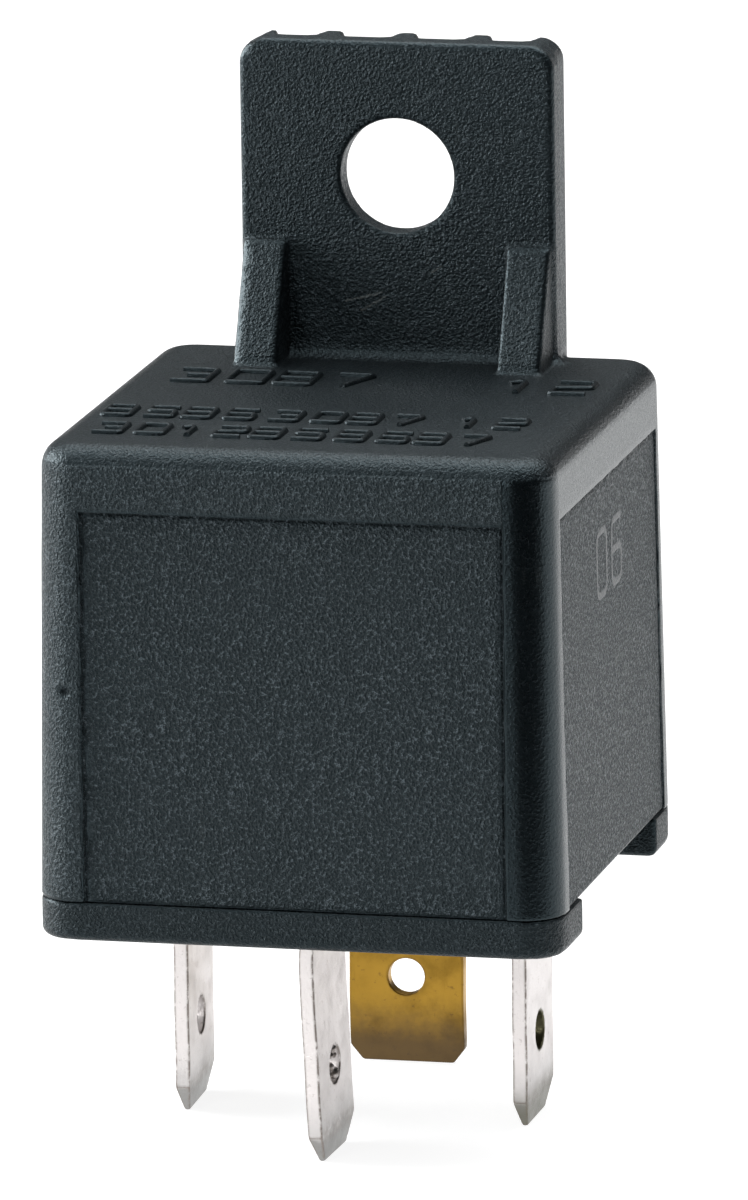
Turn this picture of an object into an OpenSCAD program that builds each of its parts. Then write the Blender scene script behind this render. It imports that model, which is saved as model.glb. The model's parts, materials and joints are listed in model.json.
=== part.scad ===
// Automotive relay: four flat blades, one normally open contact, moulded cover with a bracket tab.
// The tips of the blades stand at z = 0 and the middle of the cover lies on the z axis.
// The front faces -Y. All lengths are in millimetres and all angles in degrees.

/* [Cover] */
// Width of the cover at its lower edge
cover_w = 28.2; // [27.8:0.1:29.2]
// Depth of the cover at its lower edge
cover_d = 28.6; // [28.2:0.1:29.6]
// Height of the cover, from the seam to the roof
cover_h = 24.3; // [23.6:0.1:26]
// Thickness of the cover's side walls
wall_t = 1.15; // [1:0.05:1.25]
// Thickness of the cover's roof
roof_t = 1.2; // [1:0.05:1.5]
// Draft of the side walls, on each side
draft = 0.8; // [0.5:0.1:1]
// Radius of the cover's vertical corners
corner_r = 2.2; // [1.8:0.1:2.5]
// Radius of the cover's upper edges
top_r = 1.3; // [1:0.1:1.6]
// Depth of the recessed grained panels
panel_step = 0.1; // [0.05:0.05:0.2]
// Width of the plain margin beside each panel
panel_margin = 2.8; // [2.5:0.1:4]
// Height of the plain margin above each panel
panel_head = 3.45; // [2.5:0.05:5]

/* [Bracket tab] */
// Width of the tab
tab_w = 17.2; // [16.6:0.1:18]
// Height of the tab above the roof
tab_h = 17.2; // [16:0.1:19]
// Thickness of the tab's plate
tab_t = 1.65; // [1.5:0.05:1.8]
// Distance of the tab's front face inside the cover's back
tab_in = 3.55; // [3.3:0.05:4]
// Radius of the tab's upper corners
tab_r = 1.4; // [1:0.1:2]
// Radius on the tab's edges
tab_edge_r = 0.35; // [0.2:0.05:0.5]
// Diameter of the fixing hole
hole_d = 6.2; // [5.3:0.1:6.4]
// Height of the fixing hole's axis above the roof
hole_rise = 9.95; // [9.4:0.05:11]
// Height of the ribs on the tab's back
rib_h = 1.5; // [0.8:0.05:1.5]
// Width of a rib at its root
rib_w = 1.8; // [1.4:0.1:1.9]
// Distance from rib to rib
rib_pitch = 4.05; // [4:0.05:4.2]
// Height of the two gussets above the roof
gusset_h = 6.4; // [5:0.1:7]
// Depth of a gusset at the roof
gusset_d = 3.2; // [2:0.1:4]
// Width of a gusset
gusset_w = 2.4; // [1.8:0.1:2.8]
// Distance of a gusset inside the tab's side face
gusset_inset = 0.2; // [0:0.1:0.5]
// Radius of the fillet where the tab meets the roof
foot_r = 0.9; // [0.5:0.1:1.2]

/* [Base] */
// Height of the base's rim, below the seam
rim_h = 2.1; // [1.8:0.1:2.6]
// Height of the plug that enters the cover
plug_h = 1.6; // [1.5:0.1:2]
// Gap between the plug and the cover's inner wall
plug_gap = 0.08; // [0.05:0.01:0.12]
// Depth of the cut-backs at the two sides of the rim
notch_depth = 2.5; // [2:0.1:2.8]
// Length of the side cut-backs
notch_len = 17.7; // [14:0.1:19]
// Offset of the side cut-backs towards the back
notch_y = 0.45; // [0:0.05:0.8]
// Height of the two snap beads that hold the base in the cover
snap_h = 0.25; // [0.15:0.05:0.3]

/* [Blades] */
// Width of a flat blade
blade_w = 6.3; // [6:0.1:6.4]
// Thickness of a flat blade
blade_t = 0.8; // [0.7:0.05:0.85]
// Length of a blade below the base
blade_len = 11.9; // [10:0.1:13]
// Diameter of the detent hole
detent_d = 2; // [1.6:0.1:2.2]
// Height of the detent hole's axis above the tip
detent_z = 4.75; // [4:0.05:5.2]
// Clearance round a blade in its slot
slot_gap = 0.04; // [0.02:0.01:0.06]
// Clearance round a blade in the relief at its slot's mouth
mouth_gap = 0.25; // [0.2:0.05:0.4]
// Offset of the blades and the mechanism to the right of the cover's middle
row_x = 0.3; // [0:0.1:0.4]
// Distance of the coil blades inside the cover's sides
coil_blade_in = 4.85; // [4.6:0.05:5.1]
// Place of the two coil blades, front to back
coil_blade_y = -0.8; // [-1.2:0.1:-0.4]
// Distance of the front blade's middle inside the cover's front
front_blade_in = 4.4; // [4.35:0.05:4.55]
// Distance of the rear blade's middle inside the cover's back
rear_blade_in = 4.8; // [4.7:0.05:4.9]
// Bend of the front blade towards the right
bend_30 = 2.4; // [0:0.1:3]
// Twist of the front blade
twist_30 = -2; // [-3:0.5:3]
// Twist of the left blade
twist_86 = 2; // [-3:0.5:3]

/* [Magnet] */
// Thickness of the yoke's steel strip
yoke_t = 1.6; // [1.4:0.05:1.65]
// Width of the yoke
yoke_w = 12.4; // [11:0.1:13]
// Radius of the yoke's knife edge, which the armature rocks on
edge_r = 0.4; // [0.3:0.05:0.45]
// Radial clearance of the armature's groove on the knife edge
edge_gap = 0.05; // [0.03:0.01:0.07]
// Radius of the core's shank, as a share of the winding's radius
core_share = 0.44; // [0.38:0.01:0.48]
// Radius of the core's pole face, as a share of the winding's radius
pole_share = 0.74; // [0.62:0.01:0.78]
// Thickness of the pole plate
pole_t = 1; // [0.8:0.1:1.1]
// Distance of the winding inside the flanges' edges
flange_over = 0.35; // [0.2:0.05:1.2]
// Thickness of the bobbin's flanges
flange_t = 0.85; // [0.7:0.05:1]
// Width of the bobbin's flanges
flange_w = 12.4; // [12.2:0.1:12.6]
// Wall of the bobbin's tube
tube_t = 0.8; // [0.6:0.05:1]
// Diameter of a coil lead
lead_d = 0.45; // [0.35:0.05:0.5]

/* [Contact] */
// Thickness of the armature
armature_t = 1.5; // [1.3:0.05:1.6]
// Width of the armature at its free end
armature_w = 10.6; // [9.6:0.1:11.4]
// Angle of the open armature above the pole face
open_angle = 2.2; // [2:0.05:2.3]
// Angle of the armature's travel, from open until the contacts meet
travel_angle = 2; // [1.8:0.05:2]
// Thickness of the leaf spring
spring_t = 0.3; // [0.25:0.05:0.3]
// Width of the leaf spring
spring_w = 8.6; // [7.6:0.1:9]
// Width of the spring's tongue that carries the moving contact
tongue_w = 4.4; // [3.8:0.1:5]
// Distance of the contacts in front of the rear blade
contact_in = 2.3; // [2.1:0.05:2.4]
// Radius of the contact faces
contact_r = 1.6; // [1.3:0.1:1.6]
// Clearance between the contact faces at the end of the travel
contact_gap = 0.02; // [0.01:0.01:0.04]
// Thickness of the strips that carry the fixed contact and the stop
strip_t = 0.8; // [0.7:0.05:0.85]
// Diameter of the braid
braid_d = 1.2; // [1:0.1:1.4]
// Shank radius of the rivets
rivet_r = 0.8; // [0.7:0.05:0.9]
// Head radius of the rivets
rivet_head_r = 1.35; // [1.2:0.05:1.5]
// Head height of the rivets
rivet_head_h = 0.45; // [0.35:0.05:0.5]
// Clearance round a rivet's shank
rivet_gap = 0.015; // [0.01:0.005:0.03]

/* [Hidden] */

$fn = 96;
hull_fn = 32;
eps = 0.01;

// Levels, from the tips upwards
base_z = blade_len;
seam_z = base_z + rim_h;
floor_z = seam_z + plug_h;
roof_z = seam_z + cover_h;
ceiling_z = roof_z - roof_t;
tab_z = roof_z + tab_h;
hole_z = roof_z + hole_rise;
shoulder_depth = 0.7;
shoulder_z = seam_z - shoulder_depth;

// Places of the blades, the contacts and the tab, from the cover's walls inwards
coil_blade_x = cover_w / 2 - coil_blade_in;
front_blade_y = front_blade_in - cover_d / 2;
rear_blade_y = cover_d / 2 - rear_blade_in;
contact_y = rear_blade_y - contact_in;
tab_y = cover_d / 2 - tab_in;

// The stop hangs under the ceiling, and the mechanism is measured down from it
roof_room = 0.8;
contact_head_h = 0.4;
contact_head_r = 1.1;
stop_z = ceiling_z - roof_room - strip_t;
// The yoke's front face lies just behind the tang of the front blade, and its knife edge behind that
tang_back = 0.7;
edge_back = 0.95;
yoke_y = front_blade_y + tang_back;
hinge_y = yoke_y + edge_back;
open_lift = (armature_t + spring_t + contact_head_h) * cos(open_angle)
    + (contact_y + contact_head_r - hinge_y) * sin(open_angle);
hinge_z = stop_z - contact_gap - open_lift;

// The magnet, from the pole face downwards
pole_gap = 0.03;
edge_rise = 0.12;
pole_z = hinge_z - pole_gap;

// The bobbin fills the room between the yoke's leg and the fixed contact's lug
contact_side_gap = 0.1;
flange_front_gap = 0.5;
flange_back_gap = 0.2;
lug_front_y = contact_y - contact_r - contact_side_gap;
flange_front_y = yoke_y + yoke_t + flange_front_gap;
flange_back_y = lug_front_y - flange_back_gap;
flange_d = flange_back_y - flange_front_y;
mech_y = (flange_front_y + flange_back_y) / 2;
winding_r = min(flange_w, flange_d) / 2 - flange_over;
core_r = core_share * winding_r;
pole_r = pole_share * winding_r;
coil_top_z = pole_z - pole_t - flange_t;
foot_top_z = floor_z + yoke_t;
coil_low_z = foot_top_z + flange_t;

// The moving contact hangs below the spring's leaf, and the fixed contact meets it
moving_drop = 1.2;
end_angle = open_angle - travel_angle;
fixed_top_z = hinge_z + armature_t - moving_drop
    + (contact_y - contact_r - hinge_y) * sin(end_angle) - contact_gap;
fixed_t = 0.9;
lug_z = fixed_top_z - fixed_t - strip_t;

// Inner outline of the cover at the seam, and how far a drafted wall leans in at a level
inner_w = cover_w - 2 * wall_t;
inner_d = cover_d - 2 * wall_t;
function lean(z) = (z - seam_z) * tan(draft);

// ---------------------------------------------------------------- shared shapes

// Plan of a box with round corners
module round_rect(w, d, r) {
    square([w, d - 2 * r], center = true);
    square([w - 2 * r, d], center = true);
    for (sx = [-1, 1], sy = [-1, 1])
        translate([sx * (w / 2 - r), sy * (d / 2 - r)]) circle(r);
}

// Solid with drafted walls and round corners; its width and depth are those at the seam
module drafted_box(w, d, r, z0, z1, edge_r) {
    hull() for (sx = [-1, 1], sy = [-1, 1]) {
        translate([sx * (w / 2 - r - lean(z0)), sy * (d / 2 - r - lean(z0)), z0])
            cylinder(r = r, h = eps, $fn = hull_fn);
        translate([sx * (w / 2 - r - lean(z1)), sy * (d / 2 - r - lean(z1)), z1 - edge_r])
            rotate_extrude($fn = hull_fn) intersection() {
                translate([r - edge_r, 0]) circle(edge_r, $fn = hull_fn);
                translate([0, -edge_r]) square([2 * r, 2 * edge_r]);
            }
    }
}

// Profile of a strip with one square bend: foot along +x, leg along +y, outer corner at the origin
module folded(foot, leg, t, ri) {
    ro = ri + t;
    translate([ro, 0]) square([foot - ro, t]);
    translate([0, ro]) square([t, leg - ro]);
    translate([ro, ro]) intersection() {
        difference() {
            circle(ro);
            circle(ri);
        }
        translate([-ro, -ro]) square(ro);
    }
}

// Extrudes a front-to-back and upright profile (y, z) by a width centred on the mechanism
module across(w) {
    translate([row_x - w / 2, 0, 0])
        rotate([90, 0, 90]) linear_extrude(w) children();
}

// Straight flat blade along +z from its tip: width along y, thickness along x
module blade(top_z, chamfer, bevel) {
    w = blade_w / 2;
    t = blade_t / 2;
    difference() {
        intersection() {
            rotate([90, 0, 90]) translate([0, 0, -t]) linear_extrude(2 * t) polygon([
                [-w, top_z], [-w, chamfer.y], [chamfer.x - w, 0],
                [w - chamfer.x, 0], [w, chamfer.y], [w, top_z]]);
            rotate([90, 0, 0]) translate([0, 0, -w - 1]) linear_extrude(2 * w + 2) polygon([
                [-t, top_z], [-t, bevel.y], [bevel.x - t, 0],
                [t - bevel.x, 0], [t, bevel.y], [t, top_z]]);
        }
        translate([0, 0, detent_z]) rotate([0, 90, 0])
            cylinder(d = detent_d, h = 3 * blade_t, center = true);
    }
}

tin_chamfer = [1.1, 1.5];
tin_bevel = [0.25, 1.5];
brass_chamfer = [0.65, 0.85];
brass_bevel = [0.22, 1.3];

// Rivet along +z from the face that it closes flush: shank, then the head
module rivet(grip, shank_r = rivet_r, head_r = rivet_head_r, head_h = rivet_head_h) {
    cylinder(r = shank_r, h = grip + eps);
    translate([0, 0, grip]) cylinder(r = head_r, h = head_h);
}

// Places what lies on the closed armature at its open rest
module opened() {
    translate([0, hinge_y, hinge_z]) rotate([open_angle, 0, 0]) children();
}

// ---------------------------------------------------------------- swept wires

function unit(v) = v / norm(v);
function headings(p) = [for (i = [0 : len(p) - 1])
    unit(p[min(i + 1, len(p) - 1)] - p[max(i - 1, 0)])];
function square_to(t, n) = unit(n - t * (n * t));
function sides_of(t, n, i = 0, found = []) = i == len(t) ? found
    : sides_of(t, n, i + 1, concat(found, [square_to(t[i], i == 0 ? n : found[i - 1])]));

// Smooth route through hand-set points, with a number of steps on each stretch
function spline(p0, p1, p2, p3, u) = 0.5 * (2 * p1 + (p2 - p0) * u
    + (2 * p0 - 5 * p1 + 4 * p2 - p3) * u * u + (3 * p1 - p0 - 3 * p2 + p3) * u * u * u);
function route(p, steps) = concat([for (i = [0 : len(p) - 2], k = [0 : steps - 1])
    spline(p[max(i - 1, 0)], p[i], p[i + 1], p[min(i + 2, len(p) - 1)], k / steps)],
    [p[len(p) - 1]]);

module wire(path, d, sides, first_side) {
    t = headings(path);
    n = sides_of(t, first_side);
    last = len(path) - 1;
    points = [for (i = [0 : last], j = [0 : sides - 1])
        let (a = 360 * j / sides)
        path[i] + d / 2 * (cos(a) * n[i] + sin(a) * cross(t[i], n[i]))];
    skin = [for (i = [0 : last - 1], j = [0 : sides - 1])
        let (k = (j + 1) % sides)
        [i * sides + j, (i + 1) * sides + j, (i + 1) * sides + k, i * sides + k]];
    start = [for (j = [0 : sides - 1]) j];
    end = [for (j = [sides - 1 : -1 : 0]) last * sides + j];
    polyhedron(points, concat(skin, [start, end]), convexity = 6);
}

// ---------------------------------------------------------------- cover

// Recessed panel on the front wall, from the lower edge up
module panel_cut(wall_from_middle, half) {
    top = roof_z - panel_head;
    translate([0, -wall_from_middle, seam_z]) rotate([-draft, 0, 0])
        translate([-half, -2, -1]) cube([2 * half, 2 + panel_step, top - seam_z + 1]);
}

module tab_plate() {
    r = tab_edge_r;
    low_z = ceiling_z + 0.2;
    hull() for (sx = [-1, 1]) {
        for (y = [tab_y + r, tab_y + tab_t - r])
            translate([sx * (tab_w / 2 - r), y, low_z]) cylinder(r = r, h = eps, $fn = hull_fn);
        translate([sx * (tab_w / 2 - tab_r), tab_y + tab_t / 2, tab_z - tab_r])
            rotate([90, 0, 0]) for (side = [-1, 1])
                translate([0, 0, side * (tab_t / 2 - r)]) rotate_extrude($fn = hull_fn)
                    translate([tab_r - r, 0]) circle(r, $fn = 24);
    }
}

module hole_cut() {
    translate([0, tab_y - 1, hole_z]) rotate([-90, 0, 0])
        cylinder(d = hole_d, h = tab_t + rib_h + 2);
}

// Upright ribs on the back of the tab; the outer two follow its edges, the middle one clears the hole
module back_ribs() {
    root = tab_edge_r + 0.1;
    y = tab_y + tab_t - root;
    high = rib_h + root;
    slope = rib_w * 0.2;
    low_z = ceiling_z + 0.3;
    half = tab_w / 2 - rib_inset;
    top_z = tab_z - rib_inset;
    intersection() {
        for (i = [-2 : 2]) {
            x = abs(i) == 2 ? sign(i) * (half - rib_w / 2) : i * rib_pitch;
            difference() {
                translate([x, y, low_z]) linear_extrude(top_z - low_z) polygon([
                    [-rib_w / 2, 0], [rib_w / 2, 0],
                    [rib_w / 2 - (i == 2 ? 0 : slope), high],
                    [-rib_w / 2 + (i == -2 ? 0 : slope), high]]);
                if (i == 0) translate([-rib_w, y - 1, hole_z - rib_stop])
                    cube([2 * rib_w, high + 2, 2 * rib_stop]);
            }
        }
        translate([0, y - 1, 0]) rotate([90, 0, 0]) mirror([0, 0, 1]) linear_extrude(high + 2) {
            translate([-half, low_z]) square([2 * half, top_z - low_z - tab_r]);
            translate([-half + tab_r, low_z]) square([2 * (half - tab_r), top_z - low_z]);
            for (sx = [-1, 1]) translate([sx * (half - tab_r), top_z - tab_r]) circle(tab_r);
        }
    }
}
rib_inset = 0.04;
// The middle rib stops short of the hole, above it and below it
rib_stop = hole_d / 2 + 0.9;

module gussets() {
    top_d = 0.35;
    sink = 0.3;
    for (sx = [-1, 1])
        translate([sx * (tab_w / 2 - gusset_inset - gusset_w / 2), 0, 0])
            rotate([90, 0, 90]) linear_extrude(gusset_w, center = true) polygon([
                [tab_y + tab_edge_r + eps, roof_z - sink],
                [tab_y - gusset_d, roof_z - sink],
                [tab_y - gusset_d, roof_z],
                [tab_y - top_d, roof_z + gusset_h],
                [tab_y + tab_edge_r + eps, roof_z + gusset_h]]);
}

// Hollow fillet along the foot of the tab's front face
module foot_fillet() {
    half = tab_w / 2 - gusset_inset - gusset_w;
    blend = 0.015;
    translate([-half - eps, 0, 0]) rotate([90, 0, 90]) linear_extrude(2 * half + 2 * eps)
        translate([tab_y - foot_r, roof_z]) difference() {
            translate([0, -0.3]) square([foot_r + tab_edge_r, foot_r + 0.3]);
            translate([blend, foot_r - blend]) circle(foot_r);
        }
}

// Grooves in the side walls that the base's beads snap into
module snap_grooves() {
    for (sx = [-1, 1])
        translate([sx * inner_w / 2, notch_y, snap_z]) rotate([90, 0, 0])
            linear_extrude(snap_len + 0.4, center = true) polygon([
                [-sx * 0.3, -snap_half - 0.35], [sx * (snap_h + 0.02), -0.05],
                [sx * (snap_h + 0.02), 0.05], [-sx * 0.3, snap_half + 0.35]]);
}
snap_z = seam_z + plug_h / 2;
snap_half = 0.4;
snap_len = 7;

module cover() {
    color("#262c30") difference() {
        union() {
            difference() {
                drafted_box(cover_w, cover_d, corner_r, seam_z, roof_z, top_r);
                for (turn = [0, 180]) rotate(turn)
                    panel_cut(cover_d / 2, cover_w / 2 - panel_margin);
                for (turn = [90, 270]) rotate(turn)
                    panel_cut(cover_w / 2, cover_d / 2 - panel_margin);
            }
            tab_plate();
            back_ribs();
            gussets();
            foot_fillet();
        }
        drafted_box(inner_w, inner_d, corner_r - wall_t, seam_z - 1, ceiling_z, 0.4);
        snap_grooves();
        hole_cut();
    }
}

// ---------------------------------------------------------------- base

module slot(x, y, w, d, z0, z1) {
    translate([x - w / 2 - slot_gap, y - d / 2 - slot_gap, z0])
        cube([w + 2 * slot_gap, d + 2 * slot_gap, z1 - z0]);
}

module slot_mouth(x, y, w, d) {
    translate([x - w / 2 - mouth_gap, y - d / 2 - mouth_gap, base_z - 1])
        cube([w + 2 * mouth_gap, d + 2 * mouth_gap, 1 + mouth_depth]);
}
mouth_depth = 0.5;
spare_y = 0.7;
spare_depth = 0.6;

module side_notches() {
    for (sx = [-1, 1])
        translate([sx * cover_w / 2, notch_y, base_z + rim_h / 2])
            cube([2 * notch_depth, notch_len, rim_h + 2 * eps], center = true);
}

module base_plate() {
    plug_w = inner_w - 2 * plug_gap;
    plug_d = inner_d - 2 * plug_gap;
    over = eps + plug_h;
    color("#20262a") difference() {
        union() {
            difference() {
                translate([0, 0, base_z]) linear_extrude(rim_h)
                    round_rect(cover_w, cover_d, corner_r);
                side_notches();
            }
            translate([0, 0, seam_z - eps]) linear_extrude(over)
                round_rect(plug_w, plug_d, corner_r - wall_t);
            for (sx = [-1, 1])
                translate([sx * plug_w / 2, notch_y, snap_z]) rotate([90, 0, 0])
                    linear_extrude(snap_len, center = true) polygon([
                        [-sx * 0.1, -snap_half], [sx * snap_h, 0], [-sx * 0.1, snap_half]]);
        }
        // front terminal: blade pocket, then the narrow tang
        slot(row_x, front_blade_y, blade_t, blade_w, base_z - 1, shoulder_z);
        slot(row_x, tang_y, blade_t, tang_w, base_z, floor_z + 1);
        // coil terminals
        for (sx = [-1, 1]) {
            slot(row_x + sx * coil_blade_x, coil_blade_y, blade_t, blade_w, base_z - 1, shoulder_z);
            slot(row_x + sx * coil_blade_x, coil_blade_y, blade_t, post_w, base_z, floor_z + 1);
        }
        // rear terminal
        slot(row_x, rear_blade_y, blade_w, blade_t, base_z - 1, shoulder_z);
        slot(row_x, rear_blade_y, carrier_w, blade_t, base_z, floor_z + 1);
        // foot of the stop
        slot(row_x, stop_y, stop_w, strip_t, floor_z - stop_root, floor_z + 1);
        // relief at the mouths of the slots, wide enough for a blade that stands a little askew
        for (place = [[0, front_blade_y], [-coil_blade_x, coil_blade_y], [coil_blade_x, coil_blade_y]])
            slot_mouth(row_x + place.x, place.y, blade_t, blade_w);
        slot_mouth(row_x, rear_blade_y, blade_w, blade_t);
        // blank place of the fifth blade, which this version doesn't have
        translate([row_x - blade_w / 2, spare_y, base_z - 1]) cube([blade_w, blade_t, 1 + spare_depth]);
    }
}

// ---------------------------------------------------------------- terminals

tang_w = 2.4;
tang_y = yoke_y - tang_w / 2;
post_w = 3;
post_h = 5.4;
post_z = floor_z + post_h;
neck_cut = 0.6;
carrier_w = 5.4;
flag_w = 6;
flag_rise = 0.5;
flag_h = 4.4;
flag_rivet_in = 3.7;
flag_low_z = floor_z + flag_rise;
flag_z = flag_low_z + flag_h;
flag_rivet_x = row_x + flag_rivet_in;
flag_rivet_z = (flag_low_z + flag_z) / 2;

module terminal_30() {
    bend_z = base_z - 0.3;
    color("#c9c2c0") {
        translate([row_x, front_blade_y, bend_z]) rotate([0, -bend_30, twist_30])
            translate([0, 0, -bend_z]) blade(bend_z + 0.1, tin_chamfer, tin_bevel);
        translate([row_x, front_blade_y, (bend_z + shoulder_z) / 2])
            cube([blade_t, blade_w, shoulder_z - bend_z], center = true);
        translate([row_x - blade_t / 2, tang_y - tang_w / 2, shoulder_z - eps])
            cube([blade_t, tang_w, flag_z - shoulder_z]);
        // flag, folded round against the yoke
        difference() {
            translate([row_x - blade_t / 2, yoke_y - blade_t, flag_low_z])
                cube([flag_w, blade_t, flag_z - flag_low_z - eps]);
            flag_rivet_hole();
        }
    }
}

module flag_rivet_hole() {
    translate([flag_rivet_x, yoke_y - 2 * blade_t, flag_rivet_z]) rotate([-90, 0, 0])
        cylinder(r = rivet_r + rivet_gap, h = 2 * blade_t + yoke_t + 1);
}

// Coil terminal with its upright post; the post's neck takes the coil's lead
module coil_terminal(side, twist) {
    bend_z = base_z - 0.3;
    neck_h = 1.7;
    neck_drop = 1.6;
    translate([row_x + side * coil_blade_x, coil_blade_y, 0]) {
        rotate(twist) blade(bend_z + (twist == 0 ? 0 : 0.1), tin_chamfer, tin_bevel);
        translate([0, 0, (bend_z + shoulder_z) / 2])
            cube([blade_t, blade_w, shoulder_z - bend_z], center = true);
        difference() {
            translate([0, 0, (shoulder_z + post_z) / 2])
                cube([blade_t, post_w, post_z - shoulder_z + eps], center = true);
            for (sy = [-1, 1])
                translate([0, sy * post_w / 2, post_z - neck_drop])
                    cube([2 * blade_t, 2 * neck_cut, neck_h], center = true);
        }
    }
}

module terminal_85() {
    color("#c9c2c0") coil_terminal(1, 0);
}

module terminal_86() {
    color("#c9c2c0") coil_terminal(-1, twist_86);
}

module terminal_87() {
    back_y = rear_blade_y + blade_t / 2;
    color("#8f6c34") difference() {
        union() {
            translate([row_x, rear_blade_y, 0]) rotate(90)
                blade(shoulder_z, brass_chamfer, brass_bevel);
            across(carrier_w) translate([back_y, lug_z + strip_t]) rotate(180)
                folded(back_y - lug_front_y, lug_z + strip_t - shoulder_z + eps, blade_t, 0.6);
        }
        translate([row_x, contact_y, lug_z - 1])
            cylinder(r = rivet_r + rivet_gap, h = strip_t + 3);
    }
}

module fixed_contact() {
    tail_h = 0.4;
    color("#d9d4c6") translate([row_x, contact_y, lug_z]) {
        translate([0, 0, strip_t]) cylinder(r = contact_r, h = fixed_t);
        translate([0, 0, -eps]) cylinder(r = rivet_r, h = strip_t + 2 * eps);
        translate([0, 0, -tail_h]) cylinder(r = rivet_head_r, h = tail_h);
    }
}

// ---------------------------------------------------------------- magnet

module yoke() {
    foot_short = 0.3;
    yoke_bend_r = 0.4;
    foot_end_y = tail_y - foot_short;
    leg_top_z = hinge_z - edge_rise;
    color("#8d9296") difference() {
        union() {
            across(yoke_w) translate([yoke_y, floor_z])
                folded(foot_end_y - yoke_y, leg_top_z - floor_z, yoke_t, yoke_bend_r);
            translate([row_x, hinge_y, hinge_z]) rotate([0, 90, 0])
                cylinder(r = edge_r, h = yoke_w, center = true);
        }
        translate([row_x, mech_y, floor_z - 1])
            cylinder(r = tenon_r + rivet_gap, h = yoke_t + 2);
        flag_rivet_hole();
        yoke_rivet_holes();
    }
}

tenon_step = 0.7;
tenon_r = core_r - tenon_step;

module yoke_rivet_holes() {
    for (sx = [-1, 1])
        translate([row_x + sx * yoke_rivet_x, yoke_y - 2, yoke_rivet_z]) rotate([-90, 0, 0])
            cylinder(r = rivet_r + rivet_gap, h = yoke_t + 4);
}
yoke_rivet_x = 2.4;
yoke_rivet_drop = 7;
yoke_rivet_z = hinge_z - yoke_rivet_drop;

module core() {
    color("#9aa0a4") translate([row_x, mech_y, 0]) {
        translate([0, 0, floor_z]) cylinder(r = tenon_r, h = yoke_t + eps);
        translate([0, 0, foot_top_z]) cylinder(r = core_r, h = pole_z - pole_t - foot_top_z + eps);
        translate([0, 0, pole_z - pole_t]) cylinder(r = pole_r, h = pole_t);
    }
}

module bobbin() {
    tube_r = core_r + rivet_gap + tube_t;
    horn_d = 1.6;
    horn_y = 1.6;
    horn_share = 0.426;
    horn_out = horn_share * (coil_blade_x - flange_w / 2);
    flange_r = 1.5;
    color("#d8cfa8") translate([row_x, mech_y, 0]) difference() {
        union() {
            translate([0, 0, foot_top_z]) linear_extrude(flange_t)
                round_rect(flange_w, flange_d, flange_r);
            translate([0, 0, coil_top_z]) linear_extrude(flange_t)
                round_rect(flange_w, flange_d, flange_r);
            translate([0, 0, foot_top_z]) cylinder(r = tube_r, h = coil_top_z - foot_top_z + eps);
            // guides for the coil's leads
            for (sx = [-1, 1])
                translate([sx * (flange_w / 2 + horn_out / 2 - eps), horn_y, foot_top_z + flange_t / 2])
                    cube([horn_out, horn_d, flange_t], center = true);
        }
        translate([0, 0, foot_top_z - 1])
            cylinder(r = core_r + rivet_gap, h = coil_top_z + 2 * flange_t - foot_top_z + 2);
        // lightening slots in the upper flange
        for (sx = [-1, 1])
            translate([sx * (flange_w / 2), 0, coil_top_z + flange_t / 2])
                cube([1.2, 3, 2 * flange_t], center = true);
    }
}

module winding() {
    tube_r = core_r + rivet_gap + tube_t;
    gap = 0.03;
    h = coil_top_z - coil_low_z - 2 * gap;
    shoulder = 0.5;
    color("#b06a3a") translate([row_x, mech_y, coil_low_z + gap]) rotate_extrude() polygon([
        [tube_r + gap, 0], [winding_r - shoulder, 0], [winding_r, shoulder],
        [winding_r, h - shoulder], [winding_r - shoulder, h], [tube_r + gap, h]]);
}

// A lead leaves the winding, crosses to its post and wraps three times round the neck
wraps = 3;
wrap_drop = 2.25;
lead_off = 0.1;
lead_rise = 0.9;
lead_stand = 1.1;
lead_share = 0.565;
lead_y = [0.6, 1.3, 1.6];
function wrap_corners(side) = let (
        x = blade_t / 2 + lead_d * 0.62,
        y = post_w / 2 - neck_cut + lead_d * 0.62,
        pitch = lead_d * 1.06 / 4)
    [for (i = [0 : 4 * wraps - 1])
        let (sx = (i % 4 < 2) ? -1 : 1, sy = (i % 4 == 0 || i % 4 == 3) ? 1 : -1)
        [row_x + side * (coil_blade_x + sx * x), coil_blade_y + sy * y,
            post_z - wrap_drop + i * pitch]];

module coil_lead(side) {
    near_x = coil_blade_x - lead_stand;
    out_x = winding_r + lead_share * (near_x - winding_r);
    start = [row_x + side * (winding_r + lead_off), mech_y + lead_y.x, coil_low_z + lead_rise];
    out = [row_x + side * out_x, mech_y + lead_y.y, coil_low_z + lead_rise + lead_off];
    near = [row_x + side * near_x, mech_y + lead_y.z, post_z - wrap_drop - lead_d];
    color("#a85f33") wire(concat(route([start, out, near], 4), wrap_corners(side)),
        lead_d, 8, [0, 0, 1]);
}

module coil_lead_85() {
    coil_lead(1);
}

module coil_lead_86() {
    coil_lead(-1);
}

// ---------------------------------------------------------------- armature and contact

front_lip = 0.8;
spring_bend_r = 1;
tail_gap = 1;
tail_y = contact_y - contact_r - tail_gap;
armature_rivet_x = 2.6;
armature_rivet_in = 1.75;
armature_rivet_y = hinge_y + armature_rivet_in;

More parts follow.
